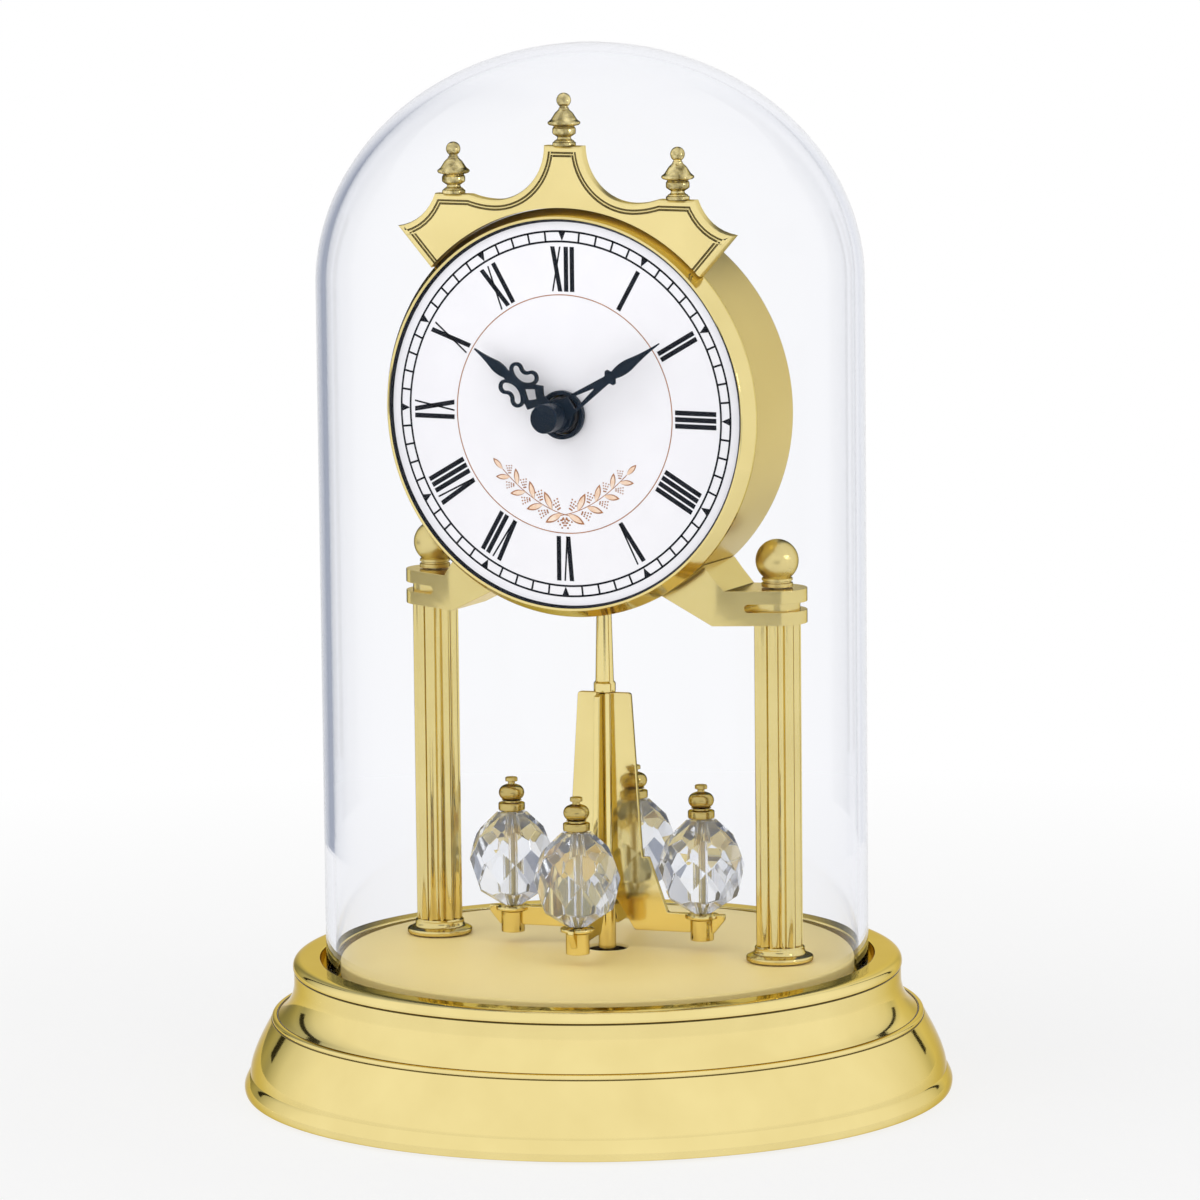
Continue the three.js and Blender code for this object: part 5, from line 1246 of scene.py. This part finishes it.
def crest_edge():
    """The crest's upper edge from its left foot to its right foot, about the dial's centre."""
    top = span("crest")[1].z - HEAD_Z
    dip_x = CREST_TOP_HALF + CREST_SWEEP
    shoulder_x = dip_x + CREST_DIP_WIDTH
    shoulder = Vector((shoulder_x + CREST_SHOULDER_WIDTH, CREST_SHOULDER))

    def upright(radius, degrees):
        return Vector((radius * math.sin(math.radians(degrees)), radius * math.cos(math.radians(degrees))))

    tip = upright(CREST_TIP_RADIUS, CREST_TIP_ANGLE)
    foot = upright(span("bezel")[1].x + GAP, CREST_FOOT_ANGLE)
    along = tip - shoulder
    inward = Vector((along.y, -along.x)).normalized()
    hollow = (shoulder + tip) / 2 + inward * 2 * CREST_HOLLOW
    sweep = [(dip_x + CREST_SWEEP * x, top + (top - CREST_DIP) * y) for x, y in arc((0, 0), 1, 180, 270, 16)]
    middle_x = dip_x + CREST_DIP_WIDTH / 2
    rise = curve((dip_x, CREST_DIP), (middle_x, CREST_DIP), (shoulder_x, CREST_SHOULDER), 6)
    right = [*sweep, *rise, tuple(shoulder), *curve(shoulder, hollow, tip, 8), tuple(foot)]
    return [(-x, y) for x, y in reversed(right)] + right


def crest_line(edge, inset):
    """The crest's edge moved inwards, with its two ends slid along to the arc round the bezel."""
    if not inset:
        return edge
    points = [Vector(p) for p in moved_left(edge, -inset, False)]
    foot_radius = Vector(edge[0]).length
    for end, inner in ((0, 1), (-1, -2)):
        way = (points[end] - points[inner]).normalized()
        along = points[inner].dot(way)
        reach = math.sqrt(along * along - points[inner].length_squared + foot_radius ** 2)
        points[end] = points[inner] + way * (-along - reach)
    return [tuple(p) for p in points]


def crest_plate():
    """The crest with its rolled edge and the beaded line inside its border."""
    low, high = span("crest")
    back, front = -high.y, -low.y
    edge = crest_edge()
    lines = [(edge, back)]
    lines += [(crest_line(edge, inset), front + rise) for inset, rise in CREST_BORDER]
    shape = bmesh.new()
    rows = [[shape.verts.new((x, y, z)) for x, y in line] for line, z in lines]
    for outer, inner in zip(rows, rows[1:]):
        for i in range(len(outer) - 1):
            shape.faces.new((outer[i], outer[i + 1], inner[i + 1], inner[i]))
    ends = [math.degrees(math.atan2(rows[-1][i].co.y, rows[-1][i].co.x)) for i in (0, -1)]
    inner_arc = arc((0, 0), Vector(edge[0]).length, ends[0], ends[1], 40)[1:-1]
    panel_z = rows[-1][0].co.z
    panel_arc = [shape.verts.new((x, y, panel_z)) for x, y in inner_arc]
    shape.faces.new([*rows[-1], *reversed(panel_arc)])
    front_foot = [*(row[0] for row in rows[1:]), *panel_arc, *(row[-1] for row in reversed(rows[1:]))]
    back_row = [shape.verts.new((v.co.x, v.co.y, back)) for v in front_foot[1:-1]]
    back_foot = [rows[0][0], *back_row, rows[0][-1]]
    for i in range(len(front_foot) - 1):
        shape.faces.new((front_foot[i], front_foot[i + 1], back_foot[i + 1], back_foot[i]))
    shape.faces.new([*rows[0], *reversed(back_foot[1:-1])])
    finish("crest_plate", mesh_of(shape), crest_gold, "plated_gold", "crest", place=HEAD, sharp=25)
    # Painted shade: dark strips laid into the two grooves of the border
    grooves = [groove_shadow(edge, inset, front) for inset in CREST_GROOVES]
    finish("crest_groove_shadows", joined(*grooves), shadow_gold, "plated_gold", place=HEAD)


def groove_shadow(edge, inset, front):
    """A thin dark strip of painted shade that lies in one groove of the crest."""
    far = inset + GROOVE_WIDTH
    floor, face = front - GROOVE_FLOOR, front - GROOVE_FACE
    section = [(inset, floor), (inset, face), (far, face), (far, floor)]
    shape = bmesh.new()
    rows = [[shape.verts.new((x, y, z)) for x, y in crest_line(edge, across)] for across, z in section]
    for row, other in zip(rows, [*rows[1:], rows[0]]):
        for i in range(len(row) - 1):
            shape.faces.new((row[i], row[i + 1], other[i + 1], other[i]))
    for end in (0, -1):
        shape.faces.new([row[end] for row in rows])
    return mesh_of(shape)


def finials():
    for side in ("left", "centre", "right"):
        low, high = span(f"finial_{side}")
        ball_z = high.z - low.z - FINIAL_BALL
        start = -math.degrees(math.acos(FINIAL_NECK / FINIAL_BALL))
        ball = arc((0, ball_z), FINIAL_BALL, start, 90, 14)
        profile = [
            *soften((0, -SEAT), (FINIAL_FLANGE, -SEAT, 0.1), (FINIAL_FLANGE, 0.35, 0.3), (2.1, 0.6, 0.1),
                    (2.1, 0.8, 0.1)),
            *curve((2.0, 0.85), (FINIAL_WAIST, 0.9), (FINIAL_WAIST, 1.5), 6),
            *soften((FINIAL_WAIST, 1.5), (FINIAL_BULGE, 2.2, 0.5), (FINIAL_BULGE, 3.3, 0.5),
                    (2.15, 3.75, 0.1), (FINIAL_BODY - 0.3, 4.05, 0.15), (FINIAL_BODY, 4.35, 0.2),
                    (FINIAL_BODY - 0.05, 4.7, 0.3), (2.8, 5.2, 0.5), (1.9, 6.6, 0.5), (1.1, 7.35, 0.3),
                    (1.1, 7.6, 0.1), (FINIAL_NECK, 7.75))[1:],
            *ball[:-1],
            (0, high.z - low.z),
        ]
        place = at((low.x + high.x) / 2, (low.y + high.y) / 2, low.z)
        finish(f"turned_finial_{side}", turned(profile, SMALL_SIDES), cast_gold, "plated_gold",
               f"finial_{side}", place=place)


# Hands

def bent_slot(centre, radius, half, start, end):
    """A slot of even width, bent along an arc and round at its ends."""
    def end_of(angle):
        a = math.radians(angle)
        return centre[0] + radius * math.cos(a), centre[1] + radius * math.sin(a)

    return [
        *arc(centre, radius + half, start, end, 12),
        *arc(end_of(end), half, end, end + 180, 8)[1:],
        *arc(centre, radius - half, end, start, 12)[1:],
        *arc(end_of(start), half, start + 180, start + 360, 8)[1:-1],
    ]


def boss(radius, low, high):
    return turned(soften((0, low), (radius, low, 0.15), (radius, high, 0.25), (0, high)), SMALL_SIDES)


def hand_levels(node):
    """The heights of a hand's boss, and those of the blade halfway up it."""
    near, far = span(node)
    low, high = -far.y, -near.y
    blade = (low + high - HAND_THICKNESS) / 2
    return low, high, {"low": blade, "high": blade + HAND_THICKNESS}


def minute_hand():
    low, high, levels = hand_levels("minute_hand")
    edge = [
        (0.12, 30.0),
        *curve((0.12, 30.0), (0.4, 25.5), (1.1, 22.2)),
        *curve((1.1, 22.2), (1.65, 19.6), (0.85, 17.1)),
        (1.75, 16.5), (1.75, 15.9), (0.9, 15.3), (2.5, 0),
    ]
    opening = soften((-1.35, 5.3, 0.2), (1.35, 5.3, 0.2), (0, 11.8, 0.1))
    blade = plate(both_sides(edge), opening, **levels, edge=HAND_EDGE)
    hand = carved(blade, boss(MINUTE_BOSS, low, high), "UNION")
    finish("minute_hand_blade", hand, hand_lacquer, "hand_blue", "minute_hand", body="minute_hand",
           place=HEAD @ turn(-MINUTE_ANGLE))
    finish("centre_knob", centre_knob(), hand_lacquer, "hand_blue", "hand_knob", body="minute_hand",
           place=HEAD)


def centre_knob():
    low, high = span("hand_knob")
    radius = (high.x - low.x) / 2
    back, front = -high.y, -low.y
    rim = soften((0, back), (radius, back, 0.2), (radius, front - 0.3, 0.2), (radius - 0.35, front, 0.15))
    profile = [*rim, (0, front)]
    return turned(profile, SMALL_SIDES)


def hour_hand():
    low, high, levels = hand_levels("hour_hand")
    window = [(0, 6.0), (1.5, 7.5), (0, 9.5), (-1.5, 7.5)]
    neck = [(0.9, 15.2), (1.2, 11.0), (2.4, 8.0), (3.2, 6.4), (1.6, 5.2), (1.4, 0)]
    leaf = [
        (0.12, 24.0),
        *curve((0.12, 24.0), (0.4, 20.8), (1.15, 18.2)),
        *curve((1.15, 18.2), (1.45, 16.2), (0.7, 14.4)),
    ]
    hand = plate(both_sides(neck), window, **levels)
    hand = carved(hand, plate(both_sides(leaf), **levels), "UNION")
    for sign in (1, -1):
        loop, hole = ([(sign * x, y) for x, y in bent_slot(LOOP_CENTRE, LOOP_RADIUS, half, *LOOP_ENDS)]
                      for half in (LOOP_HALF, LOOP_HOLE_HALF))
        hand = carved(hand, plate(loop, **levels), "UNION")
        hand = carved(hand, plate(hole, low=levels["low"] - 1, high=levels["high"] + 1))
    hand = carved(hand, boss(HOUR_BOSS, low, high), "UNION")
    finish("hour_hand_blade", hand, hand_lacquer, "hand_blue", "hour_hand", body="hour_hand",
           place=HEAD @ turn(-HOUR_ANGLE))


def dial_nut():
    low, high = span("dial_nut")
    radius = (high.x - low.x) / 2
    ring = plate(circle(radius, SMALL_SIDES), circle(NECK_HOLE, SMALL_SIDES), low=-high.y, high=-low.y,
                 edge=NUT_EDGE)
    finish("round_nut", ring, hand_lacquer, "hand_blue", "dial_nut", place=HEAD)


# Pendulum

def fin_plate():
    """One fin with its flare and arm, from the axis out."""
    outline = soften(
        (0, rotor_high.z),
        (0, ARCH_Z),
        (HUB_RADIUS, ARCH_Z),
        (6.5, ARM_Z, 0.8),
        (ARM_RADIUS + 2.8, ARM_Z, 0.3),
        (ARM_RADIUS + 5.2, CUP_FLANGE_Z, 0.3),
        (ARM_RADIUS + 5.2, CUP_TOP_Z, 0.2),
        (14, CUP_TOP_Z, 0.6),
        (9.8, CUP_TOP_Z + FIN_STEP, 0.3),
        (8.3, CUP_TOP_Z + FIN_STEP, 0.2),
        (6.0, rotor_high.z, 0.8),
    )
    half = FIN_THICKNESS / 2
    return placed(plate(outline, low=-half, high=half, edge=FIN_EDGE), UPRIGHT)


def cup():
    low, flange, top = rotor_low.z, CUP_FLANGE_Z, CUP_TOP_Z
    profile = [
        *soften((0, low), (2.55, low, 0.15), (2.55, flange - 0.1, 0.2), (3.7, flange + 0.35, 0.15),
                (3.7, top, 0.25)),
        *soften((2.7, top), (2.6, top - 0.35, 0.1), (0, top - 0.35)),
    ]
    return placed(turned(profile, SMALL_SIDES), at(ARM_RADIUS, 0))


def rotor():
    top = rotor_high.z
    hub = soften((0, ARCH_Z), (HUB_RADIUS, ARCH_Z, 0.3), (HUB_RADIUS, top, 0.3), (0, top))
    whole = turned(hub, SMALL_SIDES)
    for quarter in range(4):
        for piece in (fin_plate(), cup()):
            whole = carved(whole, placed(piece, turn(90 * quarter)), "UNION")
    finish("rotor", whole, polished_gold, "plated_gold", "pendulum_rotor", body="pendulum", place=PENDULUM,
           sharp=30)


def stem_and_guide():
    low, high = span("pendulum_stem")
    collar = rotor_high.z + GAP
    profile = [
        (0, low.z),
        (TANG_RADIUS, low.z),
        *soften((TANG_RADIUS, collar), (2.4, collar, 0.2), (2.4, collar + 1.9, 0.3), (2.0, collar + 2.4, 0.1),
                (STEM_RADIUS, drum_low.z)),
        (STEM_RADIUS, high.z),
        (0, high.z),
    ]
    finish("stem", turned(profile, SMALL_SIDES), polished_gold, "plated_gold", "pendulum_stem",
           body="pendulum", place=PENDULUM)
    low, high = span("pendulum_guide")
    shoulder = high.z - GUIDE_TANG
    profile = soften((0, low.z), (GUIDE_RADIUS, low.z, 0.4), (GUIDE_RADIUS, shoulder, 0.3),
                     (TANG_RADIUS, shoulder), (TANG_RADIUS, high.z), (0, high.z))
    finish("guide_rod", turned(profile, SMALL_SIDES), polished_gold, "plated_gold", "pendulum_guide",
           body="pendulum", place=PENDULUM)


def cut_drop(low):
    """A drop cut by rows of flat facets, each row turned half a facet, with a smooth bore."""
    radii = (DROP_FOOT, DROP_LOW, DROP_BELLY, DROP_WIDEST, DROP_HIGH, DROP_TOP)
    heights = [low + sum(DROP_ROWS[:i]) for i in range(len(DROP_ROWS) + 1)]
    top = heights[-1]
    planes = [(Vector((0, 0, height)), Vector((0, 0, way))) for height, way in ((low, -1), (top, 1))]
    for row in range(len(DROP_ROWS)):
        rise = heights[row + 1] - heights[row]
        draw = radii[row] - radii[row + 1]
        for side in range(DROP_SIDES):
            around = turn(360 * (side + row / 2) / DROP_SIDES)
            planes.append((around @ Vector((radii[row], 0, heights[row])), around @ Vector((rise, 0, draw))))
    shape = bmesh.new()
    bmesh.ops.create_cube(shape, size=6 * DROP_WIDEST, matrix=at(0, 0, heights[2]))
    for point, normal in planes:
        everything = [*shape.verts, *shape.edges, *shape.faces]
        cut = bmesh.ops.bisect_plane(shape, geom=everything, plane_co=point, plane_no=normal,
                                     clear_outer=True)
        loop = [part for part in cut["geom_cut"] if isinstance(part, bmesh.types.BMEdge)]
        if loop:
            bmesh.ops.contextual_create(shape, geom=loop)
    drop = eased(mesh_of(shape), DROP_EDGE, 5, 1)
    return carved(drop, rod(DROP_BORE, low - 1, top + 1))


def turned_cap(low, high):
    """A turned cap with a shank through the drop."""
    disc = high - CAP_HEIGHT
    profile = [
        (0, low),
        (SHANK_RADIUS, low),
        *soften((SHANK_RADIUS, disc), (2.9, disc, 0.3), (2.9, disc + 1.7, 0.35), (1.75, disc + 1.75, 0.1),
                (1.7, disc + 2.2, 0.1), (2.2, disc + 2.25)),
        *arc((1.1, disc + 3.9), 1.7, -75, 80, 14),
        *soften((1.3, disc + 5.65), (0.8, disc + 5.75, 0.1), (0.75, disc + 6.35, 0.1),
                (1.35, disc + 6.4, 0.15), (1.35, high, 0.3), (0, high)),
    ]
    return turned(profile, SMALL_SIDES)


def drops():
    for number in range(1, 5):
        place = PENDULUM @ turn(90 * (number - 1)) @ at(ARM_RADIUS, 0)
        low = span(f"crystal_{number}")[0]
        finish(f"cut_drop_{number}", cut_drop(low.z), cut_crystal, "crystal", f"crystal_{number}",
               body="pendulum", place=place, sharp=3)
        low, high = span(f"crystal_cap_{number}")
        finish(f"turned_cap_{number}", turned_cap(low.z, high.z), turned_brass, "turned_brass",
               f"crystal_cap_{number}", body="pendulum", place=place)


# Dome

def dome():
    """The glass dome, with an evenly thick wall and a fire-rounded foot."""
    radius, foot, top = dome_high.x, dome_low.z, dome_high.z
    spring = top - DOME_CROWN
    inner = radius - DOME_WALL

    def crown(across, up):
        return [(across * x, spring + up * y) for x, y in arc((0, 0), 1, 0, 90, DOME_STEPS)][:-1]

    profile = [
        (0, top - DOME_WALL),
        *reversed(crown(inner, DOME_CROWN - DOME_WALL)),
        *soften((inner, spring), (inner, foot, DOME_FOOT), (radius, foot, DOME_FOOT), (radius, spring))[1:-1],
        *crown(radius, DOME_CROWN),
        (0, top),
    ]
    finish("dome", turned(profile, WIDE_SIDES), dome_glass, "dome_glass", "glass_dome", body="dome", sharp=60)


spun_base()
platform()
underside()
columns()
drum()
back_disc()
movement()
cell()
knurled_knob()
bezel_ring()
dial_face = dial_disc()
numerals(dial_face)
minute_track(dial_face)
ring_line(dial_face)
spray(dial_face)
crest_plate()
finials()
dial_nut()
hour_hand()
minute_hand()
rotor()
stem_and_guide()
drops()
dome()

# Finishes of the pieces that keep their CAD shape
kept = {
    "column_rod_left": bright_steel, "column_rod_right": bright_steel,
    "column_nut_left": bright_steel, "column_nut_right": bright_steel,
    "contact_positive": bright_steel, "contact_negative": bright_steel,
    "pendulum_drive": moulded_black, "hour_pipe": turned_brass, "minute_arbor": bright_steel,
}
for node, material in kept.items():
    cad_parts[node].data.materials[0] = material


# Stage: floor, world, lamps, dark cards and camera

def stage_object(name, mesh, matrix, material):
    """A thing round the clock, drawn in millimetres."""
    mesh.materials.append(material)
    thing = bpy.data.objects.new(name, mesh)
    thing.matrix_world = Matrix.Scale(MM, 4) @ matrix
    scene.collection.objects.link(thing)
    return thing


def stage_plane(name, width, height, matrix, material):
    shape = bmesh.new()
    corners = ((-1, -1), (1, -1), (1, 1), (-1, 1))
    shape.faces.new([shape.verts.new((x * width / 2, y * height / 2, 0)) for x, y in corners])
    return stage_object(name, plain_mesh(shape, name), matrix, material)


def bare_material(name):
    """A material without a surface yet, its tree and its object coordinates."""
    material, tree, shader = new_material(name)
    tree.nodes.remove(shader)
    return material, tree, add_node(tree, "ShaderNodeTexCoord").outputs["Object"]


def floor_white():
    """A pale floor that takes a soft shadow near the clock and is plain white far from it."""
    material, tree, place = bare_material("floor_white")
    away = add_node(tree, "ShaderNodeVectorMath", {0: place}, operation="LENGTH").outputs["Value"]
    share = output_of(tree, "ShaderNodeMapRange", {
        "Value": away, "From Min": FLOOR_NEAR, "From Max": FLOOR_FAR, "To Min": FLOOR_GLOW, "To Max": 1.0})
    matt = output_of(tree, "ShaderNodeBsdfDiffuse", {"Color": (0.9, 0.9, 0.9, 1)})
    surfaced(tree, share, matt, glow(tree, (1, 1, 1, 1)))
    return material


def white_world():
    """White where a lens, metal or glass sees it, and softer as a light."""
    world = bpy.data.worlds.new("studio")
    scene.world = world
    world.use_nodes = True
    tree = world.node_tree
    path = add_node(tree, "ShaderNodeLightPath").outputs
    seen = calculate(tree, "MAXIMUM", path["Is Camera Ray"], path["Is Glossy Ray"])
    seen = calculate(tree, "MAXIMUM", seen, path["Is Transmission Ray"])
    strength = output_of(tree, "ShaderNodeMapRange", {"Value": seen, "To Min": WORLD_LIGHT, "To Max": 1.0})
    background = tree.nodes["Background"]
    background.inputs["Color"].default_value = (1, 1, 1, 1)
    tree.links.new(strength, background.inputs["Strength"])


def lamp(name, azimuth, elevation, width, height, power):
    """A soft rectangular lamp aimed at the middle of the clock."""
    data = bpy.data.lights.new(name, "AREA")
    data.shape = "RECTANGLE"
    data.size = width * MM
    data.size_y = height * MM
    data.energy = power
    light = bpy.data.objects.new(name, data)
    light.matrix_world = facing(azimuth, elevation, LAMP_DISTANCE)
    light.visible_glossy = False
    light.visible_transmission = False
    scene.collection.objects.link(light)


def outward(azimuth, elevation):
    """The way out from the clock. Azimuth 0 is straight ahead of the dial."""
    a, e = math.radians(azimuth), math.radians(elevation)
    return Vector((math.sin(a) * math.cos(e), -math.cos(a) * math.cos(e), math.sin(e)))


def facing(azimuth, elevation, distance):
    """A place round the clock that looks at its middle, in metres."""
    back = outward(azimuth, elevation)
    middle = Vector((0, 0, CAMERA_AIM_UP)) * MM
    turn_to = back.to_track_quat("Z", "Y").to_matrix().to_4x4()
    return Matrix.Translation(middle + back * distance * MM) @ turn_to


def reflected_material(name):
    """A bare material that lights nothing, its tree, its object coordinates and its light path."""
    material, tree, place = bare_material(name)
    material.cycles.emission_sampling = "NONE"
    return material, tree, place, add_node(tree, "ShaderNodeLightPath").outputs


def glow(tree, colour, level=1.0):
    return output_of(tree, "ShaderNodeEmission", {"Color": colour, "Strength": level})


def shown(tree, share, light):
    """Sends a glow to the surface where the share is 1, and leaves it clear elsewhere."""
    surfaced(tree, share, output_of(tree, "ShaderNodeBsdfTransparent"), light)


def toned(tree, share, tones):
    """A glow with tones round the tent, each an azimuth in degrees and a level. The dark ones are bluish."""
    ramp = add_node(tree, "ShaderNodeValToRGB", {"Fac": share})
    stops = ramp.color_ramp.elements
    while len(stops) < len(tones):
        stops.new(0.5)
    for stop, (azimuth, level) in zip(stops, tones):
        stop.position = (azimuth + 180) / 360
        stop.color = (*(level ** power for power in TONE_POWERS), 1)
    return glow(tree, ramp.outputs[0])


def deeper(tree, path, kind, count):
    """1 where light has been through more than a count of bounces of one kind."""
    return calculate(tree, "GREATER_THAN", path[f"{kind} Depth"], count)


def tent_tone():
    """Tones that only reflections see: one set outside the dome, one inside it and one in the cut drops."""
    material, tree, place, path = reflected_material("tent_tone")
    parts = add_node(tree, "ShaderNodeSeparateXYZ", {0: place}).outputs
    around = calculate(tree, "ARCTAN2", parts["X"], calculate(tree, "MULTIPLY", parts["Y"], -1.0))
    inputs = {"Value": around, "From Min": -math.pi, "From Max": math.pi}
    share = output_of(tree, "ShaderNodeMapRange", inputs)
    mirrored = deeper(tree, path, "Glossy", MIRROR_DEPTH)
    in_dome = deeper(tree, path, "Transmission", DOME_DEPTH)
    in_drop = deeper(tree, path, "Transmission", DROP_DEPTH)
    behind = calculate(tree, "GREATER_THAN", calculate(tree, "ABSOLUTE", around), math.radians(WING_AZIMUTH))
    wing, inner, drop = (toned(tree, share, tones) for tones in (WING_TONES, INNER_TONES, DROP_TONES))
    inner = output_of(tree, "ShaderNodeMixShader", {0: in_drop, 1: inner, 2: drop})
    light = output_of(tree, "ShaderNodeMixShader", {0: in_dome, 1: wing, 2: inner})
    wing_or_inner = calculate(tree, "MULTIPLY", mirrored, calculate(tree, "MAXIMUM", behind, in_dome))
    shown(tree, calculate(tree, "MAXIMUM", wing_or_inner, in_drop), light)
    return material


def tent():
    """A round tent about the clock that gives the polished pieces something to reflect."""
    shape = bmesh.new()
    rows = [[shape.verts.new((x, y, z)) for x, y in circle(TENT_RADIUS)] for z in (TENT_FOOT, TENT_HEIGHT)]
    for i in range(ROUND_SIDES):
        shape.faces.new((rows[0][i - 1], rows[0][i], rows[1][i], rows[1][i - 1]))
    hide_card(stage_object("tent", plain_mesh(shape, "tent"), turn(CAMERA_AZIMUTH), tent_tone()))


def reflected_card(name, azimuth, width, heights, level, inside):
    """An upright card within the tent that only reflections see, inside the dome or outside it."""
    material, tree, _, path = reflected_material(name)
    test = "GREATER_THAN" if inside else "LESS_THAN"
    side = calculate(tree, test, path["Transmission Depth"], DOME_DEPTH)
    mirrored = deeper(tree, path, "Glossy", MIRROR_DEPTH)
    shown(tree, calculate(tree, "MULTIPLY", side, mirrored), glow(tree, (1, 1, 1, 1), level))
    stand = turn(CAMERA_AZIMUTH + azimuth) @ at(0, CARD_PLACE - TENT_RADIUS, sum(heights) / 2)
    hide_card(stage_plane(name, width, heights[1] - heights[0], stand @ UPRIGHT, material))


def hide_card(plane):
    plane.visible_camera = False
    plane.visible_diffuse = False
    plane.visible_shadow = False
    plane.visible_volume_scatter = False


def photograph_camera():
    azimuth, roll = math.radians(CAMERA_AZIMUTH), math.radians(CAMERA_ROLL)
    back = outward(CAMERA_AZIMUTH, CAMERA_ELEVATION)
    right = Vector((math.cos(azimuth), math.sin(azimuth), 0))
    up = back.cross(right)
    place = (right * CAMERA_AIM_ACROSS + Vector((0, 0, CAMERA_AIM_UP)) + back * CAMERA_DISTANCE) * MM
    across = right * math.cos(roll) + up * math.sin(roll)
    upward = up * math.cos(roll) - right * math.sin(roll)
    data = bpy.data.cameras.new("camera")
    data.lens = CAMERA_LENS
    data.sensor_width = SENSOR
    camera = bpy.data.objects.new("camera", data)
    camera.matrix_world = Matrix((across, upward, back)).transposed().to_4x4()
    camera.matrix_world.translation = place
    scene.collection.objects.link(camera)
    scene.camera = camera


stage_plane("floor", FLOOR_SIZE, FLOOR_SIZE, Matrix.Identity(4), floor_white())
white_world()
lamp("left_softbox", -35, 52, 900, 900, 4.2)
lamp("right_softbox", 70, 46, 600, 900, 3.1)
tent()
reflected_card("left_streak", -131, 24, (30, 240), 0.03, False)
reflected_card("right_streak", 131, 16, (30, 240), 0.03, False)
reflected_card("right_arm_shade", 4, 190, (62, 124), 0.3, True)
reflected_card("left_arm_shade", -104, 150, (62, 124), 0.4, True)
reflected_card("ball_spark", 57, 34, (188, 226), 12.0, True)
photograph_camera()

scene.view_settings.view_transform = "Standard"
